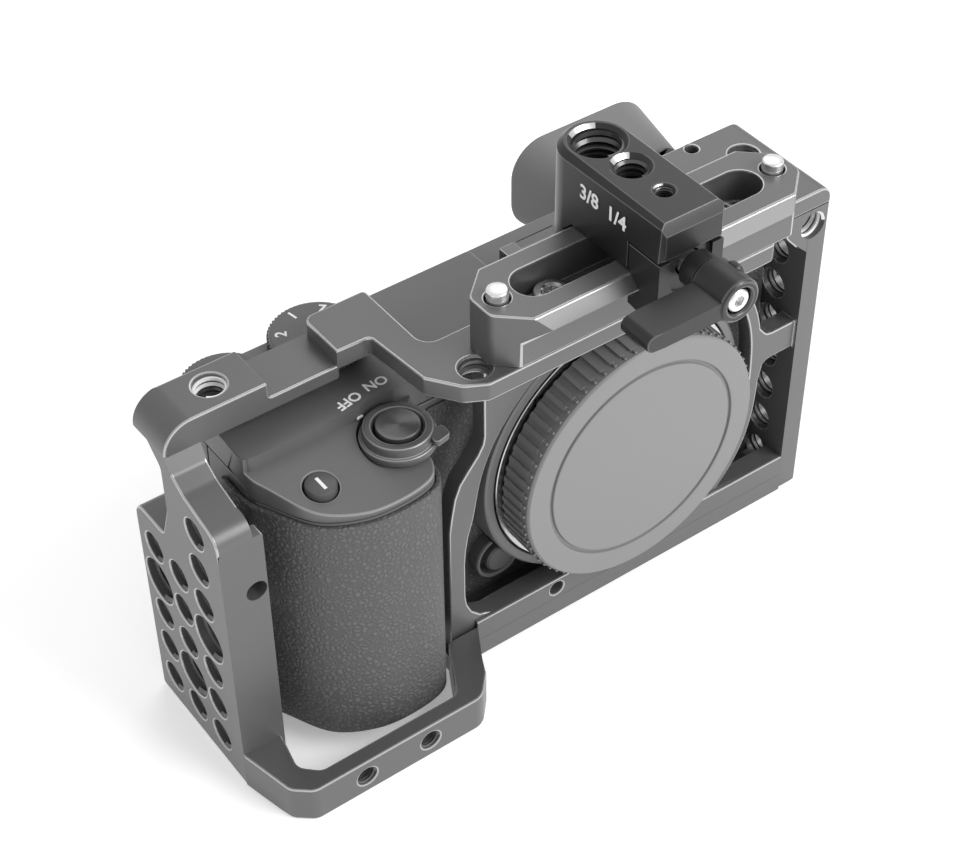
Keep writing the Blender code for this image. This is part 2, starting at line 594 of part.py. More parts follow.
def make_mount():
    """Mount housing, metal mount ring, its screws, the body cap and the lens release."""
    axis = (LENS_X, 0, LENS_Z)
    back = BODY_FRONT - GAP
    housing = turned(((THROAT_R + 0.3, back), (HOUSING_R, back), (HOUSING_R, HOUSING_FRONT + 0.6),
                      (HOUSING_R - 0.6, HOUSING_FRONT), (MOUNT_R + GAP, HOUSING_FRONT),
                      (MOUNT_R + GAP, -6.2), (THROAT_R + 0.3, -6.2)), axis, "Y", 48)
    lock_x = LENS_X - 24.0
    cut(housing, hole(lock_x, LENS_Z, 1.1, -9, 0, "Y", 10))
    ring = turned(((THROAT_R, -6.5), (MOUNT_R, -6.5), (MOUNT_R, -8.7), (THROAT_R, -8.7)),
                  axis, "Y", 48)
    holes = []
    for k in range(4):
        angle = math.radians(45 + 90 * k)
        x = LENS_X + 26.9 * math.cos(angle)
        z = LENS_Z + 26.9 * math.sin(angle)
        holes.append(hole(x, z, 1.3, -10, -5, "Y", 10))
        holes.append(hole(x, z, 0.9, -10, -2.5, "Y", 8))
        cut(housing, hole(x, z, 0.9, -7, -3.0, "Y", 8))
        screw = turned(((0, -3.4), (0.6, -3.4), (0.6, -7.2), (1.0, -7.2), (1.0, -8.7),
                        (0, -8.7)), (x, 0, z), "Y", 8)
        finished(screw, f"mount_screw_{k + 1}", "steel", (x, -8.7, z))
    finished(housing, "mount_housing", "black_plastic", smooth=True)
    cut(ring, hole(lock_x, LENS_Z, 1.1, -10, -5, "Y", 10), *holes)
    finished(ring, "lens_mount_ring", "steel", smooth=True)
    pin = disc((lock_x, 0, LENS_Z), 0.8, -10.4, -3.2, "Y", 10)
    finished(pin, "lens_lock_pin", "steel", (lock_x, -10.4, LENS_Z))
    cap = turned(((0, CAP_FRONT), (21.4, CAP_FRONT), (21.9, CAP_FRONT + 0.4),
                  (22.4, CAP_FRONT), (CAP_R - 0.6, CAP_FRONT), (CAP_R, CAP_FRONT + 0.6),
                  (CAP_R, -9.1), (CAP_R - 1.8, -9.1), (CAP_R - 1.8, -15.0), (21.6, -15.0),
                  (21.6, -4.6), (20.0, -4.6), (20.0, -15.0), (0, -15.0)), axis, "Y", 48)
    finished(cap, "body_cap", "cap_plastic", (LENS_X, CAP_FRONT, LENS_Z), smooth=True)
    button = joined(disc((RELEASE[0], 0, RELEASE[1]), 3.3, -5.6, -3.6, "Y", 20),
                    disc((RELEASE[0], 0, RELEASE[1]), 2.2, -4.0, 1.2, "Y", 16))
    cut(button, hole(LENS_X, LENS_Z, HOUSING_R + GAP, -12, -1.6, "Y", 48))
    finished(button, "lens_release_button", "black_plastic", (RELEASE[0], -5.6, RELEASE[1]))


def make_top_controls():
    """Shutter button in its power switch ring, function button and the two dials."""
    x, y = SHUTTER
    button = turned(((0, 62.3), (1.9, 62.3), (1.9, 64.4), (4.1, 64.4), (4.1, 67.2), (3.8, 67.6),
                     (0, 67.4)), (x, y, 0), steps=24)
    finished(button, "shutter_button", "steel", (x, y, 67.6), smooth=True)
    ring = turned(((4.4, 63.6), (7.1, 63.6), (7.1, 65.0), (6.5, 65.4), (6.5, 66.6), (6.1, 67.0),
                   (4.4, 67.0)), (x, y, 0), steps=24)
    joined(ring, box(x + 3.2, x + 6.6, y - 7.6, y - 4.4, 65.2, 66.5))
    finished(ring, "power_switch", "black_plastic", (x, y, 67.0), smooth=True)
    x, y = FUNCTION
    finished(disc((x, y, 0), 2.9, 62.6, 64.7, edge=0.2), "function_button", "black_plastic",
             (x, y, 64.7), smooth=True)
    for name, (x, y), radius in (("mode_dial", MODE_DIAL, 9.1), ("control_dial", CONTROL_DIAL, 8.7)):
        dial = turned(((0, 66.4), (2.0, 66.4), (2.0, 68.9), (radius, 68.9), (radius, DIAL_TOP - 0.5),
                       (radius - 0.5, DIAL_TOP), (0, DIAL_TOP)), (x, y, 0), steps=32)
        finished(dial, name, "black_plastic", (x, y, DIAL_TOP), smooth=True)


def make_top_fittings():
    """Accessory shoe and the lid of the pop-up flash."""
    low = BODY_TOP + GAP
    shoe = joined(box(11.0, 30.0, 2.0, 16.5, low, low + 0.8),
                  box(11.0, 12.2, 2.0, 16.5, low + 0.5, low + 3.0),
                  box(28.8, 30.0, 2.0, 16.5, low + 0.5, low + 3.0),
                  box(11.0, 14.4, 2.0, 16.5, low + 2.2, low + 3.0),
                  box(26.6, 30.0, 2.0, 16.5, low + 2.2, low + 3.0))
    finished(shoe, "hot_shoe", "steel")
    lid = prism(rectangle(-16.0, 7.6, 0.5, 21.5, 1.0), low, low + 1.2)
    finished(lid, "flash_lid", "black_plastic", (-4.2, 21.5, low))


def make_eyepiece():
    """Viewfinder housing, its window, the rubber eyecup and the sight-correction dial."""
    x0, x1, z0, z1 = EYECUP
    front = BODY_REAR + GAP
    housing = prism(rectangle(x0 + 5.5, x1 - 5.5, z0 + 4, z1 - 4.6, 2), front, 31.0, "Y")
    sight = rectangle(x0 + 8.5, x1 - 8.5, z0 + 6.5, z1 - 7, 1)
    cut(housing, prism(sight, 25.0, 32.0, "Y"))
    finished(housing, "evf_housing", "black_plastic")
    window = prism(rectangle(x0 + 8.8, x1 - 8.8, z0 + 6.8, z1 - 7.3, 1), 25.4, 26.4, "Y")
    finished(window, "evf_window", "glass")
    cup = prism(rectangle(x0, x1, z0, z1, 8.0), front + 0.4, EYECUP_REAR, "Y")
    for vert in cup.data.vertices:
        if vert.co.y < 30:
            vert.co.x = (x0 + x1) / 2 + (vert.co.x - (x0 + x1) / 2) * 0.78
            vert.co.z = (z0 + z1) / 2 + (vert.co.z - (z0 + z1) / 2) * 0.9
    clear = rectangle(x0 + 5.2, x1 - 5.2, z0 + 3.7, z1 - 4.3, 1.5)
    cut(cup, prism(clear, 20, 31.3, "Y"), prism(sight, 30, 42, "Y"))
    cut(cup, box(x1 - 5.3, x1 + 1, 20, 31.3, 56.0, 66.0))
    finished(cup, "eyecup", "rubber")
    dial = disc((0, 27.2, 61.0), 3.0, x1 - 5.1, x1 - 2.7, "X", 16)
    finished(dial, "diopter_dial", "black_plastic", (x1 - 3.9, 27.2, 61.0), smooth=True)


def make_screen():
    """Tilting rear screen on its hinged arm."""
    x0, x1, z0, z1 = SCREEN
    y, z = SCREEN_HINGE
    arm = prism(rounded(((y - 0.6, 8.4, 0.55), (y + 0.6, 8.4, 0.55), (y + 0.6, 46.0, 0.4),
                         (y - 0.6, 46.0, 0.4))), x0 + 10, x1 - 10, "X")
    middle = (x0 + x1) / 2
    finished(arm, "screen_arm", "steel", (middle, y, z))
    frame = prism(rectangle(x0, x1, z0, z1, 2.0), 25.1, 28.2, "Y")
    cut(frame, prism(rectangle(x0 + 3, x1 - 3, z0 + 3, z1 - 3, 0.5), 27.4, 29, "Y"))
    pivot = (middle, *SCREEN_PIVOT)
    finished(frame, "screen_frame", "black_plastic", pivot)
    glass = prism(rectangle(x0 + 3.3, x1 - 3.3, z0 + 3.3, z1 - 3.3, 0.5), 27.7, 28.2, "Y")
    finished(glass, "screen_glass", "glass", pivot)


def make_rear_controls():
    """Thumb wheel, its centre button and four round buttons."""
    x, z = WHEEL
    wheel = turned(((4.1, 23.3), (8.6, 23.3), (8.6, 24.4), (8.1, 24.9), (4.1, 24.9)),
                   (x, 0, z), "Y", 32)
    finished(wheel, "control_wheel", "black_plastic", (x, 24.9, z), smooth=True)
    centre = turned(((0, 21.6), (2.9, 21.6), (2.9, 23.9), (3.8, 23.9), (3.8, 25.0), (0, 25.0)),
                    (x, 0, z), "Y", 20)
    finished(centre, "wheel_centre_button", "black_plastic", (x, 25.0, z))
    for name, (bx, bz) in REAR_BUTTONS.items():
        button = disc((bx, 0, bz), 2.1, 21.8, 24.0, "Y", 16, edge=0.2)
        finished(button, name, "black_plastic", (bx, 24.0, bz))


def make_inner_parts():
    """What the case holds: battery and its door, sensor, shutter, main board, tripod socket."""
    x0, x1, y0, y1 = DOOR
    finished(prism(rectangle(x0, x1, y0, y1, 0.5), BODY_BOTTOM, BODY_BOTTOM + 1.4),
             "battery_door", "black_plastic", (x1, (y0 + y1) / 2, BODY_BOTTOM))
    finished(prism(rectangle(x0 + 1.1, x1 - 0.8, y0 + 0.6, y1 - 0.7, 1.5), 6.6, 50.0), "battery",
             "battery_wrap")
    sensor = joined(box(4.0, 37.0, 12.6, 14.0, 25.0, 50.0), box(8.8, 32.2, 11.6, 12.8, 29.7, 45.3))
    finished(sensor, "image_sensor", "circuit")
    shutter = box(0.0, 41.0, 6.0, 9.6, 20.0, 55.0)
    cut(shutter, box(8.5, 32.5, 5.0, 11.0, 29.5, 45.5))
    finished(shutter, "shutter_unit", "black_plastic")
    finished(box(-28.0, 58.0, 16.0, 17.2, 12.0, 56.0), "main_board", "circuit")
    socket = turned(((2.9, BODY_BOTTOM), (4.6, BODY_BOTTOM), (4.6, 11.6), (2.9, 11.6)),
                    (*TRIPOD, 0), steps=20)
    finished(socket, "tripod_socket", "steel")
    screw = turned(((0, 0.3), (6.2, 0.3), (6.6, 0.7), (6.6, 2.2), (2.5, 2.2), (2.5, 10.6),
                    (0, 10.6)), (*TRIPOD, 0), steps=20)
    cut(screw, box(TRIPOD[0] - 5.0, TRIPOD[0] + 5.0, TRIPOD[1] - 0.8, TRIPOD[1] + 0.8, -1, 1.3))
    finished(screw, "camera_mount_screw", "steel", (*TRIPOD, 0.3))


make_top_plate()
make_tab()
make_side_plate()
make_grip_loop()
make_base()
make_front_frame()
make_end_plate()
make_rail()
make_rail_fittings()
make_clamp_body()
make_clamp_jaw()
make_lever()
make_front_cover()
make_rear_cover()
make_top_cover()
make_grip_leather()
make_mount()
make_top_controls()
make_top_fittings()
make_eyepiece()
make_screen()
make_rear_controls()
make_inner_parts()
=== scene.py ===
"""Looks of a mirrorless camera in a milled cage, with its top rail, lever clamp and body cap.

Pieces are drawn in millimetres in the model's own frame and scaled to metres when they are placed.
"""
import math

import bmesh
import bpy
from mathutils import Matrix, Vector


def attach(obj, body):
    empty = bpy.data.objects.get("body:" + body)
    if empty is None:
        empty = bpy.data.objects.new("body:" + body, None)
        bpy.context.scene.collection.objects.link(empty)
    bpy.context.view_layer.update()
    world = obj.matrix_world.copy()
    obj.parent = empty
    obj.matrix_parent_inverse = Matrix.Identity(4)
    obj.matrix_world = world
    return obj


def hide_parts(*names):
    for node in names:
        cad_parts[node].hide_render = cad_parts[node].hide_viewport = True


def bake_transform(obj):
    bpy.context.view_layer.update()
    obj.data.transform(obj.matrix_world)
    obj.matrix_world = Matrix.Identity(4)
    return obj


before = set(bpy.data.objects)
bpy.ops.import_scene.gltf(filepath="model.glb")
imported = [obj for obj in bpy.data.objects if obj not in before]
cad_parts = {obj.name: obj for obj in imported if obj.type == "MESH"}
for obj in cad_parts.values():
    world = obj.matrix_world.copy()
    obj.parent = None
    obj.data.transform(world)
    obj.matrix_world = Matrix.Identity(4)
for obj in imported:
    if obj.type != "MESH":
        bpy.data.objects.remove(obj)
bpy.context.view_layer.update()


# Cage. One block of aluminium, milled out round the camera, blasted and anodised grey. Every edge
# is chamfered, and the chamfers take a brighter copy of the finish: a painted highlight.
MM = 0.001


def rounded(corners, steps=6):
    """Outline from (a, b, radius) corners; a corner with a radius becomes an arc."""
    outline = []
    for i, (a, b, radius) in enumerate(corners):
        here = Vector((a, b))
        if radius <= 0:
            outline.append(here)
            continue
        before = (Vector(corners[i - 1][:2]) - here).normalized()
        after = (Vector(corners[(i + 1) % len(corners)][:2]) - here).normalized()
        half = before.angle(after) / 2
        centre = here + (before + after).normalized() * radius / math.sin(half)
        start = here + before * radius / math.tan(half) - centre
        end = here + after * radius / math.tan(half) - centre
        turn = math.atan2(start.x * end.y - start.y * end.x, start.dot(end))
        outline += [centre + Matrix.Rotation(turn * k / steps, 2) @ start for k in range(steps + 1)]
    return outline


def rectangle(a0, a1, b0, b1, radius=0.0, steps=6):
    """Outline of a rectangle with equal corner radii."""
    return rounded(((a0, b0, radius), (a1, b0, radius), (a1, b1, radius), (a0, b1, radius)), steps)


def circle(a, b, radius, steps=48):
    """Outline of a circle."""
    angles = [2 * math.pi * k / steps for k in range(steps)]
    return [Vector((a + radius * math.cos(t), b + radius * math.sin(t))) for t in angles]


def working(data):
    """A working object in the scene on a mesh or a curve."""
    obj = bpy.data.objects.new("work", data)
    bpy.context.scene.collection.objects.link(obj)
    return obj


def as_object(bm):
    """A working object in millimetres from a bmesh, its faces turned outwards."""
    bmesh.ops.recalc_face_normals(bm, faces=bm.faces)
    return written(bm, working(bpy.data.meshes.new("work")))


def written(bm, obj):
    """The object with the bmesh as its mesh; the bmesh is used up."""
    bm.to_mesh(obj.data)
    bm.free()
    return obj


def prism(outline, low, high, axis="Z"):
    """A straight solid on an outline: (x, y) for axis Z, (x, z) for Y, (y, z) for X."""
    place = {"X": lambda a, b, h: (h, a, b),
             "Y": lambda a, b, h: (a, h, b),
             "Z": lambda a, b, h: (a, b, h)}[axis]
    bm = bmesh.new()
    face = bm.faces.new([bm.verts.new(place(p[0], p[1], low)) for p in outline])
    top = bmesh.ops.extrude_face_region(bm, geom=[face])
    raised = [v for v in top["geom"] if isinstance(v, bmesh.types.BMVert)]
    bmesh.ops.translate(bm, verts=raised, vec=place(0, 0, high - low))
    return as_object(bm)


def box(x0, x1, y0, y1, z0, z1):
    """A plain box, used as stock or as a cutter."""
    return prism(rectangle(x0, x1, y0, y1), z0, z1)


def bore(a, b, radius, low, high, axis, steps=40):
    """A round cutter through the point (a, b) of the plane that the axis stands on."""
    return prism(circle(a, b, radius, steps), low, high, axis)


def evaluated(obj):
    """A plain mesh of the object with its modifiers, or of a curve's filled outline."""
    depsgraph = bpy.context.evaluated_depsgraph_get()
    return bpy.data.meshes.new_from_object(obj.evaluated_get(depsgraph))


def applied(obj):
    """The object with its modifiers baked into a plain mesh."""
    mesh = evaluated(obj)
    obj.modifiers.clear()
    obj.data = mesh
    return obj


def boolean(base, tools, operation):
    """Boolean of the base with each tool in turn; the tools are used up."""
    for tool in tools:
        modifier = base.modifiers.new("Boolean", "BOOLEAN")
        modifier.operation = operation
        modifier.solver = "EXACT"
        modifier.object = tool
        applied(base)
        bpy.data.objects.remove(tool)
    return base


def cut(base, *tools):
    """The base with the tools cut away."""
    return boolean(base, tools, "DIFFERENCE")


def joined(base, *tools):
    """The base and the tools as one solid."""
    return boolean(base, tools, "UNION")


def crowded_edges(bm, sharp, width):
    """Sharp edges that are too short for a chamfer, or lead into a corner too tight for one."""
    crowded = set()
    for face in bm.faces:
        for loop in face.loops:
            edge = loop.edge
            used = 0.0
            for corner, other in ((loop, loop.link_loop_prev.edge),
                                  (loop.link_loop_next, loop.link_loop_next.edge)):
                angle = corner.calc_angle()
                if not corner.is_convex:
                    angle = 2 * math.pi - angle
                if edge in sharp and other in sharp:
                    used += width / math.tan(max(angle / 2, 0.02))
                elif other in sharp:
                    used += width / max(abs(math.sin(angle)), 0.3)
            if used > 0.97 * edge.calc_length():
                if edge in sharp:
                    crowded.add(edge)
                else:
                    crowded.update(e for e in (loop.link_loop_prev.edge, loop.link_loop_next.edge)
                                   if e in sharp)
    return crowded


def cleaned(obj):
    """A bmesh of the object, its split points merged and its flat faces whole again."""
    bm = bmesh.new()
    bm.from_mesh(obj.data)
    bmesh.ops.remove_doubles(bm, verts=bm.verts, dist=0.004)
    bmesh.ops.dissolve_limit(bm, angle_limit=math.radians(0.4), verts=bm.verts, edges=bm.edges)
    return bm


def chamfered(obj, width, skin, rim=None, segments=2, angle=30):
    """Cleans the flat faces, then breaks every sharp edge; the new faces take the rim material."""
    obj.data.materials.clear()
    obj.data.materials.append(skin)
    obj.data.materials.append(rim or skin)
    for face in obj.data.polygons:
        face.material_index = 0
    bm = cleaned(obj)
    sharp = {e for e in bm.edges
             if len(e.link_faces) == 2 and e.calc_face_angle(0.0) > math.radians(angle)}
    for _ in range(12):
        crowded = crowded_edges(bm, sharp, width)
        if not crowded:
            break
        sharp -= crowded
    bmesh.ops.bevel(bm, geom=list(sharp), offset=width, segments=segments, profile=0.5,
                    affect="EDGES", clamp_overlap=False, material=1)
    return written(bm, obj)


def placed(obj, name, body, skin=None, stands_for=(), crease=32):
    """Brings a finished piece to metres, shades it and gives it to its body."""
    obj.name = name
    mesh = obj.data
    mesh.name = name
    mesh.transform(Matrix.Scale(MM, 4))
    if skin is not None:
        mesh.materials.clear()
        mesh.materials.append(skin)
    mesh.shade_smooth()
    mesh.set_sharp_from_angle(angle=math.radians(crease))
    flatten = obj.modifiers.new("Weighted normals", "WEIGHTED_NORMAL")
    flatten.weight = 100
    flatten.keep_sharp = True
    applied(obj).data.name = name
    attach(obj, body)
    if stands_for:
        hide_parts(*stands_for)
    return obj


def shader_group(name, inputs, outputs):
    """An empty shader node group, and the sockets of its input and output nodes by name."""
    group = bpy.data.node_groups.new(name, "ShaderNodeTree")
    for socket, value in inputs.items():
        kind = {4: "Color", 3: "Vector"}[len(value)] if isinstance(value, tuple) else "Float"
        made = group.interface.new_socket(socket, in_out="INPUT", socket_type="NodeSocket" + kind)
        made.default_value = value
    for socket, kind in outputs.items():
        group.interface.new_socket(socket, in_out="OUTPUT", socket_type="NodeSocket" + kind)
    return (group, group.nodes.new("NodeGroupInput").outputs,
            group.nodes.new("NodeGroupOutput").inputs)


def node(tree, kind, inputs=None, **settings):
    """A node with its settings; each of its inputs named takes a socket or a value."""
    made = tree.nodes.new(kind)
    for setting, value in settings.items():
        setattr(made, setting, value)
    for key, value in (inputs or {}).items():
        if isinstance(value, bpy.types.NodeSocket):
            tree.links.new(value, made.inputs[key])
        else:
            made.inputs[key].default_value = value
    return made


def sums(tree, operation, a, b):
    """The value of a math node; a and b are sockets or numbers."""
    return node(tree, "ShaderNodeMath", {0: a, 1: b}, operation=operation).outputs[0]


def fine_surface_group():
    """Fine grain with soft cloudy wear: a colour, a roughness and a height over the surface."""
    group, ins, outs = shader_group(
        "fine surface",
        {"Tone": (0.2, 0.2, 0.2, 1.0), "Speckle": 0.1, "Cloud": 0.08, "Grain per metre": 6000.0,
         "Roughness": 0.4, "Roughness spread": 0.08},
        {"Colour": "Color", "Roughness": "Float", "Height": "Float"})
    where = node(group, "ShaderNodeTexCoord").outputs["Object"]
    grain, cloud = (
        node(group, "ShaderNodeTexNoise", {"Vector": where, "Scale": scale, "Detail": 3.0})
        .outputs["Fac"] for scale in (ins["Grain per metre"], 55.0))
    cloud_centred = sums(group, "SUBTRACT", cloud, 0.5)
    grain_part = sums(group, "MULTIPLY", sums(group, "SUBTRACT", grain, 0.5), ins["Speckle"])
    cloud_part = sums(group, "MULTIPLY", cloud_centred, ins["Cloud"])
    lift = sums(group, "ADD", sums(group, "ADD", grain_part, cloud_part), 1.0)
    tinted = node(group, "ShaderNodeVectorMath", {0: ins["Tone"], "Scale": lift},
                  operation="SCALE")
    spread = sums(group, "MULTIPLY", cloud_centred, ins["Roughness spread"])
    group.links.new(tinted.outputs[0], outs["Colour"])
    group.links.new(sums(group, "ADD", ins["Roughness"], spread), outs["Roughness"])
    group.links.new(grain, outs["Height"])
    return group


FINE_SURFACE = fine_surface_group()


def effect(tree, group, inputs):
    """A shader node group placed in a material, with this material's own values."""
    return node(tree, "ShaderNodeGroup", inputs, node_tree=group).outputs


def new_material(name):
    """A material, its tree and its Principled shader."""
    material = bpy.data.materials.new(name)
    material.use_nodes = True
    return material, material.node_tree, material.node_tree.nodes["Principled BSDF"]


def bumped(tree, shader, height, distance, strength):
    """Gives the shader a normal from a height, in metres of relief."""
    bump = node(tree, "ShaderNodeBump",
                {"Height": height, "Distance": distance, "Strength": strength})
    tree.links.new(bump.outputs["Normal"], shader.inputs["Normal"])


def finish(name, tone, roughness, metallic=0.0, speckle=0.12, cloud=0.1, grain=6000.0,
           relief=0.00002, spread=0.08, coat=0.0, rings=None):
    """A Principled material on the fine surface group; tone is linear grey or a colour.

    Where rings is given, it builds the height of turning rings, which the bump then shows instead
    of the fine grain.
    """
    material, tree, shader = new_material(name)
    colour = tone if isinstance(tone, tuple) else (tone, tone, tone)
    surface = effect(tree, FINE_SURFACE, {
        "Tone": (*colour, 1.0), "Speckle": speckle, "Cloud": cloud, "Grain per metre": grain,
        "Roughness": roughness, "Roughness spread": spread})
    tree.links.new(surface["Colour"], shader.inputs["Base Color"])
    tree.links.new(surface["Roughness"], shader.inputs["Roughness"])
    if rings:
        bumped(tree, shader, rings(tree), 0.00004, 0.5)
    else:
        bumped(tree, shader, surface["Height"], relief, 0.6)
    shader.inputs["Metallic"].default_value = metallic
    shader.inputs["Coat Weight"].default_value = coat
    return material


def geometry_tree(name, inputs):
    """An empty Geometry Nodes tree with named inputs, and the sockets of its input node."""
    tree = bpy.data.node_groups.new(name, "GeometryNodeTree")
    for socket, kind, value in (("Geometry", "Geometry", None), *inputs,
                                ("Turn", "Vector", None), ("Material", "Material", None)):
        made = tree.interface.new_socket(socket, in_out="INPUT", socket_type="NodeSocket" + kind)
        if value is not None:
            made.default_value = value
    tree.interface.new_socket("Geometry", in_out="OUTPUT", socket_type="NodeSocketGeometry")
    return tree, tree.nodes.new("NodeGroupInput").outputs


def ended(tree, instances, material):
    """Finishes a tree: the instances made real, then given their material."""
    real = node(tree, "GeometryNodeRealizeInstances", {"Geometry": instances})
    painted = node(tree, "GeometryNodeSetMaterial",
                   {"Geometry": real.outputs["Geometry"], "Material": material})
    node(tree, "NodeGroupOutput", {"Geometry": painted.outputs["Geometry"]})
    return tree


def thread_tree():
    """Geometry Nodes: a helical thread ridge at every point given, turned to the hole's axis."""
    tree, ins = geometry_tree("tapped thread", (
        ("Radius", "Float", 3.1), ("Pitch", "Float", 1.27), ("Depth", "Float", 4.0),
        ("Ridge", "Float", 0.4)))
    helix = node(tree, "GeometryNodeCurveSpiral", {
        "Resolution": 22, "Rotations": sums(tree, "DIVIDE", ins["Depth"], ins["Pitch"]),
        "Start Radius": ins["Radius"], "End Radius": ins["Radius"], "Height": ins["Depth"]})
    profile = node(tree, "GeometryNodeCurvePrimitiveCircle",
                   {"Resolution": 4, "Radius": ins["Ridge"]})
    ridge = node(tree, "GeometryNodeCurveToMesh", {
        "Curve": helix.outputs["Curve"], "Profile Curve": profile.outputs["Curve"],
        "Fill Caps": True})
    copies = node(tree, "GeometryNodeInstanceOnPoints", {
        "Points": ins["Geometry"], "Instance": ridge.outputs["Mesh"], "Rotation": ins["Turn"]})
    return ended(tree, copies.outputs["Instances"], ins["Material"])


def grown(tree, points, values):
    """The mesh that a Geometry Nodes tree makes on a list of points, as a working object."""
    mesh = bpy.data.meshes.new("points")
    mesh.from_pydata(points, [], [])
    obj = working(mesh)
    modifier = obj.modifiers.new("Nodes", "NODES")
    modifier.node_group = tree
    sockets = {s.name: s.identifier for s in tree.interface.items_tree if s.in_out == "INPUT"}
    for socket, value in values.items():
        modifier[sockets[socket]] = value
    return applied(obj)


THREAD = thread_tree()
ALONG = {"X": (0.0, math.pi / 2, 0.0), "Y": (-math.pi / 2, 0.0, 0.0), "Z": (0.0, 0.0, 0.0)}


def threads(points, axis, radius, pitch, depth, skin):
    """Thread ridges in equal holes; a point is the low end of a hole on its axis."""
    return grown(THREAD, points, {"Radius": radius, "Pitch": pitch, "Depth": depth,
                                  "Ridge": pitch * 0.36, "Turn": ALONG[axis], "Material": skin})


def merged(objs):
    """Several working objects as one object, their shells kept apart."""
    bm = bmesh.new()
    for obj in objs:
        bm.from_mesh(obj.data)
    for obj in objs[1:]:
        bpy.data.objects.remove(obj)
    return written(bm, objs[0])


LEFT = -68.5
RIGHT = 68.5
CAGE_FRONT = -12.0
CAGE_REAR = 19.3
PLATE_TOP = 78.4
PLATE_LOW = 74.4
LENS = (20.5, 37.5)
QUARTER_R = 3.05
QUARTER_PITCH = 1.27
THREE_EIGHTHS_R = 4.7
THREE_EIGHTHS_PITCH = 1.59
HOLE_ROWS = [6.8 + 8.93 * row for row in range(7)]
HOLE_COLUMNS = ((-4.0, 7, 3), (4.8, 5, 1), (13.6, 5, 3))

cage_skin = finish("grey anodised cage", 0.122, 0.37, metallic=0.45, grain=9000.0, speckle=0.10)
# The chamfer material is the anodised skin made brighter: a painted highlight on every edge.
cage_painted_highlight = finish("cage chamfer painted highlight", 0.42, 0.26, metallic=0.75, grain=3000.0, speckle=0.05)

cage = prism(rounded((
    (-33.6, 14.6, 2), (-33.6, 3.4, 0), (-26.8, 3.2, 1), (-25.5, -11.2, 1.5), (-21.3, -17.0, 2.5),
    (-17.2, -19.2, 1.5), (48.2, -19.2, 1.5), (48.2, CAGE_FRONT, 0), (RIGHT, CAGE_FRONT, 0),
    (RIGHT, 14.6, 1.5), (44.5, 14.6, 2), (44.5, -4.3, 3), (-20.4, -4.3, 3), (-20.4, 14.6, 1)), 8),
    PLATE_LOW, PLATE_TOP)
round_corner = prism(rectangle(RIGHT - 2.8, RIGHT + 1, PLATE_TOP - 2.8, PLATE_TOP + 1), -40, 40, "Y")
cut(cage, cut(round_corner, bore(RIGHT - 2.8, PLATE_TOP - 2.8, 2.8, -41, 41, "Y", 64)))
tab = prism(rounded(((LEFT, 72.2, 0), (-33.4, 72.2, 0), (-33.4, 75.0, 0), (-47.6, 75.0, 0.8),
                     (-47.6, PLATE_TOP, 0.4), (LEFT, PLATE_TOP, 5.9)), 12), 3.42, 14.18, "Y")
side = prism(rounded(((CAGE_FRONT, 0.01, 0), (CAGE_REAR, 0.01, 1), (CAGE_REAR, 50, 3), (8.8, 50, 2),
                      (5.9, 58, 5), (5.9, 68.6, 2), (9.6, 72.5, 0), (3.4, 72.5, 0), (1.6, 69.6, 2),
                      (-1.5, 67.5, 3), (-7.5, 65.8, 6), (CAGE_FRONT, 64.6, 4))), LEFT, -61.5, "X")
strip = prism(rectangle(-11.96, -9.0, 0.02, 62.0), -62.0, -59.6, "X")
loop = prism(rounded(((LEFT, -11.9, 0), (LEFT, CAGE_FRONT, 0), (-65.8, -23.6, 3), (-62.2, -26.6, 3),
                      (-24.6, -26.6, 4), (-20.6, -22.2, 3), (-15.2, CAGE_FRONT, 0),
                      (-15.2, -11.9, 0), (-22.2, -11.9, 0), (-28.4, -23.2, 1.6),
                      (-58.6, -23.2, 2.6), (-61.8, -20.0, 2.5), (-60.2, -11.9, 0))), 0, 8.5)
base = prism(rounded(((-22.2, CAGE_FRONT, 0), (64.0, CAGE_FRONT, 0), (64.0, 14.5, 0),
                      (63.4, 19.27, 0.5), (-61.8, 19.27, 0), (-61.8, 15.6, 0),
                      (-22.2, 15.6, 3))), 0.03, 4.5)


def window_edge(extra, start, end, steps):
    """Points along the lens window, moved out by extra, between two angles in degrees."""
    points = []
    for k in range(steps + 1):
        angle = math.radians(start + (end - start) * k / steps)
        radius = 35.2 - 3.2 * max(math.cos(angle), 0.0) ** 8 + extra
        points.append((LENS[0] + radius * math.cos(angle), LENS[1] + radius * math.sin(angle)))
    return points


front = [(-20.9, 4.2), (64.1, 4.2), (64.1, 9.7)]
front += window_edge(2.7, -47, -4, 14)
front += [(56.0, 39.0), (56.9, 39.7), (58.2, 39.9), (64.1, 39.9), (64.1, 46.6), (57.6, 46.6),
          (56.4, 46.9), (55.6, 47.6)]
front += window_edge(2.7, 19, 74, 16)
front += [(29.0, 74.6), (-12.7, 74.6), (-12.7, 57.5), (-13.0, 55.6), (-14.2, 53.4), (-16.2, 51.0),
          (-18.3, 48.3), (-19.5, 45.2), (-20.2, 41.5), (-20.9, 37.0)]
front = prism(front, -11.2, -7.3, "Y")
opening = window_edge(0, -51.5, 172, 72)
opening += [(-15.2, 38.0), (-16.4, 34.0), (-17.0, 30.5), (-17.3, 27.0), (-17.3, 18.0),
            (-17.0, 15.6), (-15.9, 13.0), (-13.9, 10.9), (-11.6, 9.9), (-9.6, 9.8)]
cut(front, prism(opening, -14, -5, "Y"), bore(*LENS, 28.4, -14, -5, "Y", 128),
    bore(*LENS, 31.7, -9.2, -5, "Y", 128))
sill = prism(rectangle(-15.2, 64.2, 4.3, 9.8), -11.97, -7.35, "Y")
end = prism(rounded(((-11.98, 0.02, 1), (14.58, 0.02, 2), (14.58, 75.0, 0), (-11.98, 75.0, 0))),
            63.7, RIGHT - 0.02, "X")
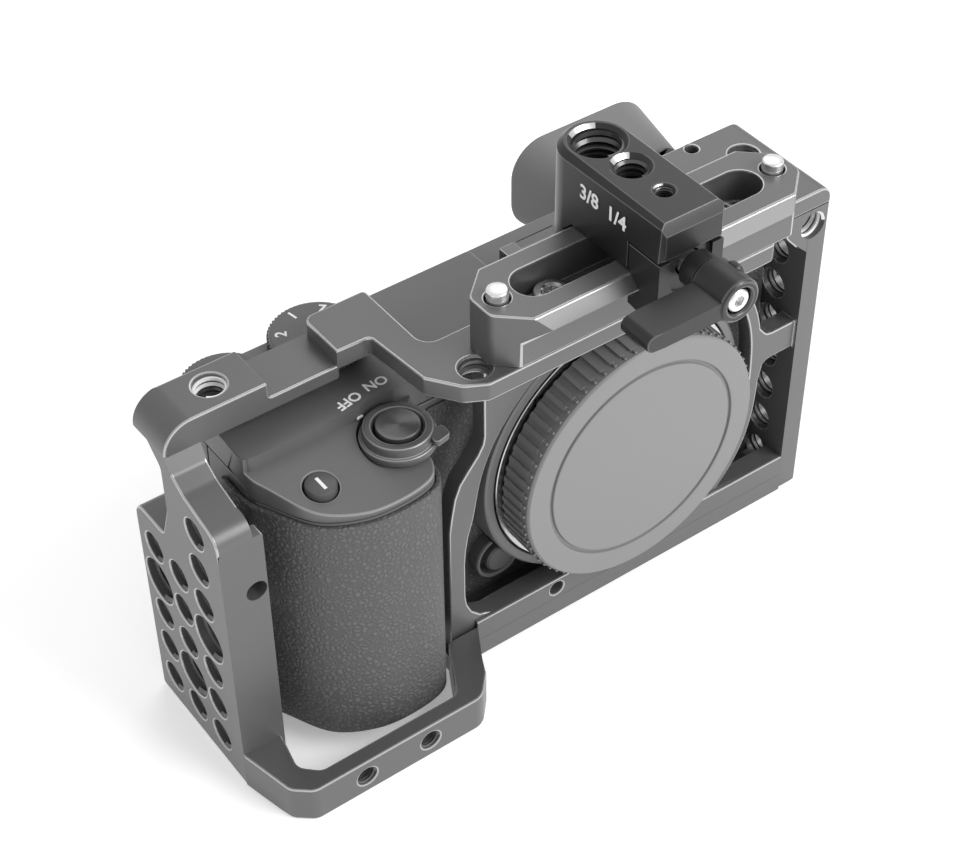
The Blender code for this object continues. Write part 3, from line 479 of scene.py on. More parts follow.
corner_block = prism(rounded(((64.7, 61.6, 0), (64.7, 74.8, 0), (57.8, 74.8, 0), (57.8, 70.0, 2),
                              (60.6, 66.8, 2), (63.5, 64.6, 1))), -11.95, -6.8, "Y")
joined(cage, tab, side, strip, loop, base, front, sill, end, corner_block)
side_holes = []
for column_y, count, large in HOLE_COLUMNS:
    for row in range(count):
        radius = THREE_EIGHTHS_R if row == large else QUARTER_R
        side_holes.append((column_y, HOLE_ROWS[row], radius))
cut(cage, *[bore(y, z, r, LEFT - 1, -58.0, "X") for y, z, r in side_holes])
cut(cage, *[bore(-4.0, z, QUARTER_R, 62, 70, "X") for z in HOLE_ROWS])
cut(cage, *[bore(x, y, r, 70, 80, "Z") for x, y, r in (
    (-55.8, 9.1, QUARTER_R), (-16.7, -14.2, QUARTER_R), (61.5, 5.5, QUARTER_R), (54.5, 12.7, 1.3))])
cut(cage, *[bore(x, 4.3, 2.1, -28, -22, "Y") for x in (-51.0, -36.7)])
cut(cage, bore(64.6, 70.4, QUARTER_R, CAGE_FRONT - 1, -2.0, "Y"),
    bore(-61.9, 49.1, 2.1, CAGE_FRONT - 1, -6.0, "Y"),
    *[bore(x, 7.2, 1.6, -14, -8.5, "Y", 24) for x in (4.3, 30.9)])
cut(cage, bore(20.4, 6.0, 7.0, -1, 2.5, "Z", 64), bore(20.4, 6.0, 3.4, -1, 6, "Z"),
    *[bore(x, 3.0, QUARTER_R, -1, 6, "Z") for x in (-8.0, 46.0)])
cage = chamfered(cage, 0.38, cage_skin, cage_painted_highlight)
placed(cage, "milled_cage", "rig", stands_for=(
    "cage_top_plate", "cage_tab", "cage_side_plate", "cage_grip_loop", "cage_base",
    "cage_front_frame", "cage_end_plate"))

QUARTER = (QUARTER_R, QUARTER_PITCH)
cage_threads = merged([
    threads(points, axis, radius, pitch, depth, cage_skin)
    for points, axis, (radius, pitch), depth in (
        ([(LEFT + 0.7, y, z) for y, z, r in side_holes if r == QUARTER_R], "X", QUARTER, 5.6),
        ([(LEFT + 0.9, y, z) for y, z, r in side_holes if r > QUARTER_R], "X",
         (THREE_EIGHTHS_R, THREE_EIGHTHS_PITCH), 5.2),
        ([(64.3, -4.0, z) for z in HOLE_ROWS], "X", QUARTER, 3.6),
        ([(-16.7, -14.2, 74.9), (61.5, 5.5, 74.9), (-55.8, 9.1, 72.7)], "Z", QUARTER, 3.0),
        ([(-55.8, 9.1, 74.9)], "Z", QUARTER, 3.0),
        ([(64.6, -11.5, 70.4)], "Y", QUARTER, 9.0),
        ([(-8.0, 3.0, 0.5), (46.0, 3.0, 0.5)], "Z", QUARTER, 3.4),
        ([(-51.0, -26.3, 4.3), (-36.7, -26.3, 4.3)], "Y", (2.1, 0.7), 2.8))])
placed(cage_threads, "cage_threads", "rig")


# Quick-release rail. A length of dovetail bar with a long slot, anodised with the cage and held
# by two socket screws. A sprung steel pin at each end stops the clamp from running off.
RAIL_LEFT = -14.6
RAIL_RIGHT = 55.5
RAIL_Y = -12.4
RAIL_LOW = PLATE_TOP + 0.05
RAIL_TOP = 89.7


def turned(profile, centre, axis="Z", steps=64):
    """A lathe-turned solid from a profile of (radius, place along the axis)."""
    along = {"X": Vector((1, 0, 0)), "Y": Vector((0, 1, 0)), "Z": Vector((0, 0, 1))}[axis]
    outward = Vector((0, 1, 0)) if axis == "X" else Vector((1, 0, 0))
    middle = Vector(centre)
    bm = bmesh.new()
    verts = [bm.verts.new(middle + outward * r + along * h) for r, h in profile]
    edges = [bm.edges.new(pair) for pair in zip(verts, verts[1:])]
    if profile[0][0] > 0:
        edges.append(bm.edges.new((verts[-1], verts[0])))
    bmesh.ops.spin(bm, geom=verts + edges, cent=middle, axis=along, angle=2 * math.pi,
                   steps=steps, use_merge=True)
    bmesh.ops.remove_doubles(bm, verts=bm.verts, dist=0.0005)
    return as_object(bm)


rail = prism(((-20.6, RAIL_TOP), (-22.8, 87.4), (-19.2, 83.8), (-19.2, RAIL_LOW),
              (-5.6, RAIL_LOW), (-5.6, 83.8), (-2.0, 87.4), (-4.3, RAIL_TOP)),
             RAIL_LEFT, RAIL_RIGHT, "X")
rail_plan = prism(rounded((
    (RAIL_LEFT, -15.5, 2.5), (-8.6, -21.0, 4), (-6.4, -23.0, 2), (47.3, -23.0, 2), (49.5, -21.0, 4),
    (RAIL_RIGHT, -15.5, 2.5), (RAIL_RIGHT, -9.5, 2.5), (47.0, -1.8, 3), (-6.1, -1.8, 3),
    (RAIL_LEFT, -9.5, 2.5)), 8), 70, 95)
boolean(rail, [rail_plan], "INTERSECT")
cut(rail, prism(rectangle(-7.0, 47.9, RAIL_Y - 3.95, RAIL_Y + 3.95, 3.94, 16), 82.8, 95))
cut(rail, *[bore(x, RAIL_Y, 2.35, 79.4, 95, "Z") for x in (-10.65, 51.55)])
cut(rail, *[bore(x, RAIL_Y, 3.9, 82.2, 95, "Z") for x in (1.4, 39.5)])
rail = chamfered(rail, 0.3, cage_skin, cage_painted_highlight)
placed(rail, "quick_release_rail_milled", "rig", stands_for=("quick_release_rail",))

screw_steel = finish("zinc-plated screw", 0.46, 0.25, metallic=1.0, grain=2500.0, spread=0.15)
spring_wire = finish("spring wire", 0.45, 0.3, metallic=1.0, grain=2500.0)
pin_steel = finish("ground steel pin", 0.78, 0.28, metallic=0.9, grain=4000.0, spread=0.1)
for word, x, pin_x in (("left", 1.4, -10.65), ("right", 39.5, 51.55)):
    screw = turned(((0, 80), (1.5, 80), (1.5, 82.9), (3.55, 82.9), (3.6, 83.0), (3.6, 85.0),
                    (3.45, 85.28), (3.15, 85.4), (0, 85.4)), (x, RAIL_Y, 0))
    cut(screw, bore(x, RAIL_Y, 1.85, 83.6, 87, "Z", 6))
    cut(screw, turned(((0, 84.95), (1.95, 84.95), (2.4, 85.6), (0, 85.6)), (x, RAIL_Y, 0)))
    placed(screw, f"rail_screw_{word}_turned", "rig", screw_steel,
           stands_for=(f"rail_screw_{word}",), crease=24)
    pin = turned(((0, 83.6), (1.95, 83.6), (2.0, 83.7), (2.0, 91.3), (1.9, 91.55), (1.65, 91.66),
                  (0, 91.7)), (pin_x, RAIL_Y, 0))
    placed(pin, f"rail_pin_{word}_turned", f"{word}_pin", pin_steel,
           stands_for=(f"rail_pin_{word}",), crease=50)
    coil = threads([(pin_x, RAIL_Y, 80.15)], "Z", 1.45, 0.8, 3.0, spring_wire)
    coil.name = coil.data.name = f"pin_spring_{word}_coil"
    coil.data.transform(Matrix.Scale(MM, 4))
    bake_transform(coil)
    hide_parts(f"pin_spring_{word}")


# Clamp. A black anodised block that rides on the rail and hooks under its rear edge, with tapped
# holes for accessories. Its front jaw is a second block, pulled in by the lever's screw.
CLAMP_X = (11.6, 25.8)
CLAMP_FRONT = -28.5
CLAMP_REAR = 5.2
CLAMP_TOP = 103.9
AXLE = (18.7, 93.15)
CLAMP_HOLES = ((-2.0, 4.65, 92.5), (-11.3, QUARTER_R, 97.0), (-20.1, 1.75, 99.9))


def at_a_side(co):
    """True on the clamp's two side faces, where its front corners are cut back."""
    return co.x < CLAMP_X[0] + 0.4 or co.x > CLAMP_X[1] - 0.4


def edges_cut_back(obj, width, chosen):
    """A flat chamfer on the edges whose two ends the test accepts."""
    bm = cleaned(obj)
    picked = [e for e in bm.edges if all(chosen(v.co) for v in e.verts)]
    bmesh.ops.bevel(bm, geom=picked, offset=width, segments=1, affect="EDGES", clamp_overlap=True)
    return written(bm, obj)


clamp_skin = finish("black anodised clamp", 0.022, 0.34, metallic=0.35, grain=9000.0, speckle=0.25)
# A lighter copy of the black anodising: a painted highlight on the chamfers and thread ridges.
clamp_painted_highlight = finish("clamp chamfer painted highlight", 0.10, 0.24, metallic=0.6, grain=3000.0)
# A bright metallic material for the clamp's front facet: a painted glint.
clamp_facet_glint = finish("clamp facet painted glint", 0.62, 0.30, metallic=0.95, grain=3000.0)
clamp = prism(rounded(((CLAMP_FRONT, 95.9, 0), (CLAMP_FRONT, CLAMP_TOP, 0),
                       (CLAMP_REAR, CLAMP_TOP, 0), (CLAMP_REAR, 87.6, 3),
                       (1.0, 83.2, 1), (-4.2, 83.2, 0.3), (-4.6, 84.4, 0), (-1.6, 87.4, 0),
                       (-4.2, 90.0, 0), (-19.6, 90.0, 0), (-19.6, 95.9, 0))), *CLAMP_X, "X")
clamp_plan = prism(rounded(((CLAMP_X[0], CLAMP_FRONT, 0), (CLAMP_X[1], CLAMP_FRONT, 0),
                            (CLAMP_X[1], CLAMP_REAR, 7.05), (CLAMP_X[0], CLAMP_REAR, 7.05)), 20),
                   80, 110)
boolean(clamp, [clamp_plan], "INTERSECT")
edges_cut_back(clamp, 1.25, lambda co: co.z > CLAMP_TOP - 0.01)
edges_cut_back(clamp, 0.9, lambda co: co.y < -27.0 and co.z < CLAMP_TOP - 1.0 and at_a_side(co))
cut(clamp, *[bore(AXLE[0], y, radius, low, 105, "Z", 40 if radius > 2 else 28)
             for y, radius, low in CLAMP_HOLES], bore(*AXLE, 2.7, -25, -7.2, "Y"))
for y, radius, _ in CLAMP_HOLES:
    flare = 0.8 if radius > 2 else 0.35
    cut(clamp, turned(((0, CLAMP_TOP - flare), (radius, CLAMP_TOP - flare),
                       (radius + flare + 0.2, CLAMP_TOP + 0.2), (0, CLAMP_TOP + 0.2)),
                      (AXLE[0], y, 0)))
clamp = chamfered(clamp, 0.12, clamp_skin, clamp_painted_highlight, segments=1, angle=28)
# Faces turned up and to the front take the painted glint.
clamp.data.materials.append(clamp_facet_glint)
for face in clamp.data.polygons:
    if face.normal.y < -0.6 and face.normal.z > 0.6:
        face.material_index = 2
placed(clamp, "clamp_body_milled", "clamp", stands_for=("clamp_body",))
# The thread ridges in the clamp take the painted highlight material.
clamp_threads = merged([
    threads([(AXLE[0], -2.0, 93.0)], "Z", 4.65, THREE_EIGHTHS_PITCH, 10.0, clamp_painted_highlight),
    threads([(AXLE[0], -11.3, 97.6)], "Z", QUARTER_R, QUARTER_PITCH, 5.4, clamp_painted_highlight),
    threads([(AXLE[0], -20.1, 100.2)], "Z", 1.75, 0.5, 3.2, clamp_painted_highlight)])
placed(clamp_threads, "clamp_threads", "clamp")

jaw = prism(rounded(((-19.95, 95.6, 0), (-28.2, 95.6, 0), (-28.2, 85.6, 3), (-26.4, 82.5, 1.5),
                     (-24.0, 82.5, 0), (-20.3, 83.0, 0), (-20.2, 84.3, 0), (-23.25, 87.4, 0),
                     (-20.6, 90.05, 0), (-19.95, 90.7, 0))), *CLAMP_X, "X")
edges_cut_back(jaw, 0.9, lambda co: co.y < -28.0 and at_a_side(co))
cut(jaw, bore(*AXLE, 2.7, -30, -18, "Y"))
cut(jaw, bore(AXLE[0], 91.6, 4.6, -30, -27.3, "Y"), box(14.1, 23.3, -30, -27.3, 91.6, 97.0))
jaw = chamfered(jaw, 0.12, clamp_skin, clamp_painted_highlight, segments=1, angle=28)
placed(jaw, "clamp_jaw_milled", "jaw", stands_for=("clamp_jaw",))

mark_white = finish("white filling", 0.80, 0.55, speckle=0.04, cloud=0.04)


def lettering(text, size, depth, matrix, body, name):
    """A thin raised mark, made a mesh; the matrix places its own x, y and z axes in mm."""
    curve = bpy.data.curves.new("lettering", "FONT")
    curve.body = text
    curve.size = size
    curve.extrude = depth
    curve.offset = size * 0.022
    curve.align_x = "CENTER"
    curve.align_y = "CENTER"
    curve.resolution_u = 4
    obj = working(curve)
    mesh = evaluated(obj)
    bpy.data.objects.remove(obj)
    bm = bmesh.new()
    bm.from_mesh(mesh)
    bmesh.ops.remove_doubles(bm, verts=bm.verts, dist=0.001)
    mark = written(bm, working(mesh))
    mesh.transform(matrix)
    return placed(mark, name, body, mark_white, crease=30)


def facing(origin, across, up):
    """Placement of a flat mark: its centre, the way it reads and its upward side."""
    x = Vector(across).normalized()
    z = x.cross(Vector(up)).normalized()
    y = z.cross(x)
    return Matrix.Translation(origin) @ Matrix((x, y, z)).transposed().to_4x4()


lettering("3/8  1/4", 4.1, 0.03, facing((11.6, -12.6, 98.7), (0, -1, 0), (0, 0, 1)), "clamp",
          "clamp_size_marks")


# Locking lever. A black lever turned and milled from one piece. It is pulled out against its
# spring to be set at another angle, and turns the bright screw that draws the jaw in.
lever = turned(((2.6, -28.8), (3.3, -28.8), (3.55, -29.1), (3.55, -32.3), (4.25, -33.0),
                (4.25, -40.5), (3.85, -40.9), (2.95, -40.9), (2.6, -40.5)), (AXLE[0], 0, AXLE[1]), "Y")
arm = prism(rounded(((16.0, 94.6, 0), (-1.0, 94.6, 1.6), (-1.0, 91.2, 1.6), (14.7, 90.9, 1),
                     (17.7, 89.6, 0), (15.7, 91.0, 0), (15.6, 93.0, 0)), 8), -40.6, -33.4, "Y")
boss = turned(((0, -37.4), (0.9, -37.4), (1.3, -37.0), (1.3, -35.0), (0.9, -34.6), (0, -34.6)),
              (21.3, 0, 95.75), "Y", 32)
joined(lever, arm, boss)
cut(lever, bore(*AXLE, 2.6, -45, -37.2, "Y"))
lever = chamfered(lever, 0.22, clamp_skin, clamp_painted_highlight, segments=2, angle=35)
placed(lever, "clamp_lever_milled", "lever", stands_for=("clamp_lever",))
lever_screw = turned(((0, -7.6), (2.3, -7.6), (2.3, -35.0), (1.3, -35.0), (1.3, -37.9), (2.2, -37.9),
                      (2.2, -40.35), (1.95, -40.6), (0, -40.6)), (AXLE[0], 0, AXLE[1]), "Y")
cut(lever_screw, bore(*AXLE, 1.15, -42, -38.8, "Y", 6))
placed(lever_screw, "clamp_screw_turned", "screw", pin_steel,
       stands_for=("clamp_screw",), crease=30)


# Camera body. Two moulded covers with a painted, fine-textured skin, screwed together at the
# sides, and a separate metal-look top cover whose front slopes down to the shutter button.
BODY = (-56.3, 63.4, -1.5, 23.0)
BODY_LOW = 4.6
SHOULDER = 62.0
BODY_TOP = 68.6
GRIP_CURVE = ((-57.4, 6.0), (-57.4, -1.8), (-55.6, -6.5), (-51.0, -14.9), (-43.4, -19.3),
              (-35.5, -20.2), (-28.5, -19.0), (-25.6, -15.5), (-25.4, -10.5), (-24.3, -6.0),
              (-21.5, -2.9))
SHUTTER = (-29.0, -8.0)
FUNCTION = (-46.5, -10.0)


def grip_path(inset, steps=8):
    """Smooth plan curve of the grip, moved in from its leather face."""
    knots = [Vector(p) for p in GRIP_CURVE]
    knots = [2 * knots[0] - knots[1]] + knots + [2 * knots[-1] - knots[-2]]
    path = []
    for p0, p1, p2, p3 in zip(knots, knots[1:], knots[2:], knots[3:]):
        for k in range(steps):
            t = k / steps
            path.append(0.5 * (2 * p1 + (p2 - p0) * t + (2 * p0 - 5 * p1 + 4 * p2 - p3) * t ** 2
                               + (3 * p1 - p0 - 3 * p2 + p3) * t ** 3))
    path.append(knots[-2])
    moved = []
    for i, point in enumerate(path):
        along = path[min(i + 1, len(path) - 1)] - path[max(i - 1, 0)]
        moved.append(point + Vector((-along.y, along.x)).normalized() * inset)
    return moved


def deck_height(y):
    """Height of the sloping deck over the grip."""
    return 66.0 + 0.224 * y


cover_skin = finish("painted cover", 0.105, 0.46, metallic=0.1, grain=5500.0, speckle=0.16,
                    relief=0.00004)
# A lighter copy of the cover paint: a painted highlight on the chamfered edges of the covers, eyepiece
# housing and screen frame; also the whole tone of the mount housing.
cover_highlight_and_housing = finish("cover edge", 0.16, 0.40, metallic=0.1, grain=5500.0)
DOOR = (-51.7, -33.5, -10.2, 15.2)

front_cover = box(BODY[0], BODY[1], BODY[2], 12.0, BODY_LOW, SHOULDER)
joined(front_cover, prism(grip_path(1.1) + [Vector((-22.0, 0.5)), Vector((-22.0, 6.0))],
                          BODY_LOW, 60.2))
cut(front_cover, box(BODY[0] + 1.8, BODY[1] - 1.8, 0.3, 13, BODY_LOW + 1.8, SHOULDER + 1))
bay = [p for p in grip_path(2.9) if p.x < -26.5]
cut(front_cover, prism(bay + [Vector((-27.5, 2.0)), Vector((bay[0].x, 2.0))], 6.4, 58.4),
    bore(*LENS, 22.3, -3, 2, "Y", 96), box(DOOR[0], DOOR[1], DOOR[2], 13, 3, 7.4),
    bore(20.4, 6.0, 5.0, 3, 8, "Z"), bore(-4.8, 16.3, 2.6, -3, 2, "Y"))
front_cover = chamfered(front_cover, 0.35, cover_skin, cover_highlight_and_housing)
placed(front_cover, "front_cover_moulded", "rig", stands_for=("front_cover",))

rear_cover = prism(rounded(((BODY[0], 12.3, 0), (BODY[1], 12.3, 0), (BODY[1], 23.0, 1.6),
                            (BODY[0], 23.0, 1.6))), BODY_LOW, SHOULDER)
cut(rear_cover, box(BODY[0] + 1.8, BODY[1] - 1.8, 11, 21.2, BODY_LOW + 1.8, SHOULDER + 1),
    box(DOOR[0], DOOR[1], 11, DOOR[3], 3, 7.4))
cut(rear_cover, *[bore(x, z, 2.4, 20, 24, "Y") for x, z in (
    (-29.0, 47.0), (-49.5, 40.0), (-29.5, 11.5), (-50.5, 11.5))],
    bore(-40.0, 24.0, 3.2, 20, 24, "Y"))
rear_cover = chamfered(rear_cover, 0.35, cover_skin, cover_highlight_and_housing)
placed(rear_cover, "rear_cover_moulded", "rig", stands_for=("rear_cover",))

top_skin = finish("painted top cover", 0.125, 0.42, metallic=0.25, grain=7000.0, speckle=0.10)
# A lighter copy of the top cover paint: a painted highlight on the chamfers of the top cover, switch
# and flash lid.
top_painted_highlight = finish("top cover painted highlight", 0.24, 0.34, metallic=0.3, grain=7000.0)
top_cover = prism(rectangle(*BODY, 1.8), 62.3, BODY_TOP)
deck = prism(grip_path(1.1) + [Vector((-22.0, -1.0)), Vector((-56.0, 2.0))], 60.5, 68.5)
slope = prism(((-30, deck_height(-30)), (-1.1, deck_height(-1.5)), (-1.1, 80), (-30, 80)),
              -70, -10, "X")
cut(deck, slope, box(-70, -10, -1.8, 10, 55, 62.3))
joined(top_cover, deck)
cut(top_cover, box(BODY[0] + 1.8, BODY[1] - 1.8, 0.3, 21.2, 61, 67.2),
    bore(*SHUTTER, 7.4, 63.2, 72, "Z", 64), bore(*SHUTTER, 2.2, 61.2, 72, "Z"),
    bore(*FUNCTION, 3.2, 61.6, 72, "Z"), bore(-29.4, 17.1, 2.3, 66, 70, "Z"),
    bore(-49.6, 14.9, 2.3, 66, 70, "Z"))
cut(top_cover, box(-20.4, 7.5, 22.0, 22.3, 68.2, 70), box(7.6, 7.85, 17.0, 24.0, 68.2, 70),
    box(17.4, 26.0, 19.4, 19.65, 68.2, 70))
top_cover = chamfered(top_cover, 0.3, top_skin, top_painted_highlight)
placed(top_cover, "top_cover_painted", "rig", stands_for=("top_cover",))

lettering("ON", 3.0, 0.04, facing((-27.0, 2.0, BODY_TOP), (-1, 0, 0), (0, -1, 0)), "rig",
          "switch_mark_on")
lettering("OFF", 3.0, 0.04, facing((-33.4, 0.9, BODY_TOP), (-1, -0.18, 0), (0.18, -1, 0)), "rig",
          "switch_mark_off")


# Grip covering. Pebble-grained synthetic leather, bonded round the grip and over the flat front
# of the body round the mount. The grain is embossed, and painted shade darkens the cracks between
# pebbles.
def leather_finish():
    """Pebbles from a Voronoi pattern bent by noise, with painted shade in the cracks between them."""
    material, tree, shader = new_material("pebble leather")
    where = node(tree, "ShaderNodeTexCoord").outputs["Object"]
    bend = node(tree, "ShaderNodeTexNoise", {"Vector": where, "Scale": 420.0})
    shift = node(tree, "ShaderNodeVectorMath", {
        0: bend.outputs["Color"], 1: (0.0009, 0.0009, 0.0009), 2: where},
        operation="MULTIPLY_ADD")
    pebbles = node(tree, "ShaderNodeTexVoronoi", feature="DISTANCE_TO_EDGE")
    pebbles.inputs["Scale"].default_value = 950.0
    tree.links.new(shift.outputs[0], pebbles.inputs["Vector"])
    tops = node(tree, "ShaderNodeMapRange", {"Value": pebbles.outputs["Distance"],
                                             "From Max": 0.4}, interpolation_type="SMOOTHSTEP")
    surface = effect(tree, FINE_SURFACE, {"Tone": (0.097, 0.097, 0.099, 1.0),
                                          "Grain per metre": 4000.0, "Roughness": 0.52})
    # Painted shade: the cracks between pebbles are mixed towards a darker grey.
    shade = node(tree, "ShaderNodeMix", {
        0: tops.outputs["Result"], 6: (0.06, 0.06, 0.062, 1.0), 7: surface["Colour"]},
        data_type="RGBA")
    tree.links.new(shade.outputs[2], shader.inputs["Base Color"])
    tree.links.new(surface["Roughness"], shader.inputs["Roughness"])
    height = sums(tree, "ADD", tops.outputs["Result"],
                  sums(tree, "MULTIPLY", surface["Height"], 0.25))
    bumped(tree, shader, height, 0.00022, 0.7)
    return material


leather = leather_finish()
leather_wrap = prism(grip_path(0.0) + grip_path(1.0)[::-1], 5.4, 60.0)
leather_wrap = chamfered(leather_wrap, 0.35, leather, segments=3, angle=40)
placed(leather_wrap, "grip_leather_bonded", "rig", stands_for=("grip_leather",),
       crease=50)
front_panel = prism(rounded(((-19.0, 6.2, 1), (62.2, 6.2, 2), (62.2, 60.6, 2), (-19.0, 60.6, 1))),
                    -1.9, -1.45, "Y")
cut(front_panel, bore(*LENS, 31.5, -3, 0, "Y", 128), bore(-4.8, 16.3, 4.4, -3, 0, "Y"))
front_panel = chamfered(front_panel, 0.12, leather, segments=2)
placed(front_panel, "front_leather_bonded", "rig")


# Lens mount. A moulded housing ring with a bright bayonet ring held by four small screws, the
# sprung locking pin beside the throat and the release button at the lower left.
LENS_AXIS = (LENS[0], 0, LENS[1])
housing = turned(((22.3, -1.8), (31.3, -1.8), (31.3, -7.6), (31.1, -8.2), (30.7, -8.5),
                  (29.3, -8.5), (29.15, -8.35), (29.15, -6.2), (22.3, -6.2)),
                 LENS_AXIS, "Y", 160)
LOCK_PIN_X = LENS[0] - 24.0
cut(housing, bore(LOCK_PIN_X, LENS[1], 1.1, -9, 0, "Y", 24))
placed(housing, "mount_housing_moulded", "rig", cover_highlight_and_housing,
       stands_for=("mount_housing",))
mount_steel = finish("bayonet steel", 0.55, 0.22, metallic=1.0, grain=3000.0, spread=0.1)
bayonet = turned(((22.0, -6.5), (28.8, -6.5), (28.8, -8.55), (28.65, -8.7), (22.2, -8.7),
                  (22.0, -8.5)), LENS_AXIS, "Y", 160)
cut(bayonet, bore(LOCK_PIN_X, LENS[1], 1.1, -10, -5, "Y", 24))
for k in range(4):
    angle = math.radians(45 + 90 * k)
    cut(bayonet, bore(LENS[0] + 26.9 * math.cos(angle), LENS[1] + 26.9 * math.sin(angle), 1.3,
                      -10, -5, "Y", 24))
placed(bayonet, "lens_mount_ring_turned", "rig", mount_steel,
       stands_for=("lens_mount_ring",))
release = turned(((0, -5.6), (2.9, -5.6), (3.3, -5.2), (3.3, -3.6), (2.2, -3.6), (2.2, 1.2),
                  (0, 1.2)), (-4.8, 0, 16.3), "Y")
cut(release, bore(*LENS, 31.6, -12, -1.6, "Y", 160))
control_skin = finish("control plastic", 0.07, 0.38, grain=6000.0, speckle=0.08)
placed(release, "lens_release_moulded", "release", control_skin,
       stands_for=("lens_release_button",))
crescent = turned(((4.5, -1.4), (5.4, -1.4), (5.4, -4.6), (5.2, -4.9), (4.7, -4.9), (4.5, -4.6)),
                  (-4.8, 0, 16.3), "Y")
cut(crescent, bore(*LENS, 31.6, -12, 0, "Y", 160))
placed(crescent, "release_guard_ridge", "rig", cover_skin)


# Body cap. Moulded in pale grey plastic, twisted into the mount. A raised disc stands in a
# shallow groove, and its rim has broad finger ribs with a row of small teeth in front of them.
def rib_tree():
    """Geometry Nodes: equal bars standing round a circle about any of the three axes."""
    tree, ins = geometry_tree("rim ribs", (
        ("Count", "Int", 48), ("Radius", "Float", 10.0), ("Width", "Float", 0.5),
        ("Height", "Float", 0.4), ("Length", "Float", 3.0), ("Centre", "Vector", None)))
    ring = node(tree, "GeometryNodeMeshCircle",
                {"Vertices": ins["Count"], "Radius": ins["Radius"]})
    size = node(tree, "ShaderNodeCombineXYZ",
                {"X": ins["Height"], "Y": ins["Width"], "Z": ins["Length"]})
    bar = node(tree, "GeometryNodeMeshCube", {"Size": size.outputs[0]})
    place = node(tree, "GeometryNodeInputPosition")
    outward = node(tree, "FunctionNodeAlignEulerToVector", {"Vector": place.outputs[0]}, axis="X")
    copies = node(tree, "GeometryNodeInstanceOnPoints", {
        "Points": ring.outputs["Mesh"], "Instance": bar.outputs["Mesh"],
        "Rotation": outward.outputs[0]})
    moved = node(tree, "GeometryNodeTransform", {
        "Geometry": copies.outputs["Instances"], "Rotation": ins["Turn"],
        "Translation": ins["Centre"]})
    return ended(tree, moved.outputs["Geometry"], ins["Material"])


RIBS = rib_tree()


def ribs(count, radius, width, height, length, centre, axis, skin):
    """A ring of ribs whose backs are sunk into the rim; a length of axis is covered."""
    return grown(RIBS, [(0, 0, 0)], {
        "Count": count, "Radius": radius, "Width": width, "Height": height, "Length": length,
        "Turn": ALONG[axis], "Centre": centre, "Material": skin})


cap_skin = finish("cap plastic", 0.19, 0.50, grain=7000.0, speckle=0.06, cloud=0.04)
# A slightly darker copy of the cap plastic for the rim and its broad ribs: painted shade.
cap_rim_shaded = finish("cap rim plastic painted shade", 0.18, 0.50, grain=7000.0, speckle=0.06, cloud=0.04)


def turned_two(front_profile, back_profile, centre, front_skin, back_skin):
    """One turned shell about Y from two touching profiles, each with its own material."""
    bm = bmesh.new()
    middle = Vector(centre)
    points = front_profile + back_profile[1:]
    verts = [bm.verts.new(middle + Vector((r, h, 0))) for r, h in points]
    edges = [bm.edges.new(pair) for pair in zip(verts, verts[1:])]
    bmesh.ops.spin(bm, geom=verts + edges, cent=middle, axis=(0, 1, 0), angle=2 * math.pi,
                   steps=192, use_merge=True)
    bmesh.ops.remove_doubles(bm, verts=bm.verts, dist=0.0005)
    split = front_profile[-1][1]
    for face in bm.faces:
        face.material_index = int(face.calc_center_median().y > split)
    obj = as_object(bm)
    obj.data.materials.append(front_skin)
    obj.data.materials.append(back_skin)
    return obj


cap = turned_two(
    ((0, -16.9), (21.2, -16.9), (21.45, -16.8), (21.6, -16.35), (22.2, -16.35), (22.35, -16.8),
     (22.6, -16.9), (27.0, -16.9), (27.25, -16.7)),
    ((27.25, -16.7), (27.45, -16.4), (27.5, -9.3), (27.3, -9.1), (26.1, -9.1), (26.1, -15.0),
     (21.6, -15.0), (21.6, -4.6), (20.0, -4.6), (20.0, -15.0), (0, -15.0)),
    LENS_AXIS, cap_skin, cap_rim_shaded)
placed(cap, "body_cap_moulded", "cap", stands_for=("body_cap",), crease=28)
cap_ribs = merged([
    ribs(72, 27.55, 1.0, 0.7, 5.6, (LENS[0], -12.2, LENS[1]), "Y", cap_rim_shaded),
    ribs(72, 27.5, 0.5, 0.8, 0.7, (LENS[0], -15.75, LENS[1]), "Y", cap_skin)])
placed(cap_ribs, "body_cap_ribs", "cap")


# Top controls. A diamond-turned shutter button inside the power switch ring, a round function
# button and two knurled dials. The marks are printed in white.
def turning_rings_group():
    """Fine rings left by a lathe: a height over the distance from an axis through the centre."""
    group, ins, outs = shader_group(
        "turning rings", {"Centre": (0.0, 0.0, 0.0), "Across": (1.0, 1.0, 0.0), "Scale": 900.0},
        {"Height": "Float"})
    where = node(group, "ShaderNodeTexCoord").outputs["Object"]
    from_centre = node(group, "ShaderNodeVectorMath", {0: where, 1: ins["Centre"]},
                       operation="SUBTRACT").outputs[0]
    across = node(group, "ShaderNodeVectorMath", {0: from_centre, 1: ins["Across"]},
                  operation="MULTIPLY").outputs[0]
    wave = node(group, "ShaderNodeTexWave", {"Vector": across, "Scale": ins["Scale"]},
                wave_type="RINGS", rings_direction="SPHERICAL")
    group.links.new(wave.outputs["Fac"], outs["Height"])
    return group


TURNING_RINGS = turning_rings_group()


def spun_finish(name, tone, centre, axis, scale, metallic, roughness):
    """A material with fine turning rings round an axis through the centre, in millimetres."""
    values = {"Centre": tuple(c * MM for c in centre), "Scale": scale,
              "Across": tuple(float(letter != axis) for letter in "XYZ")}
    return finish(name, tone, roughness, metallic=metallic,
                  rings=lambda tree: effect(tree, TURNING_RINGS, values)["Height"])


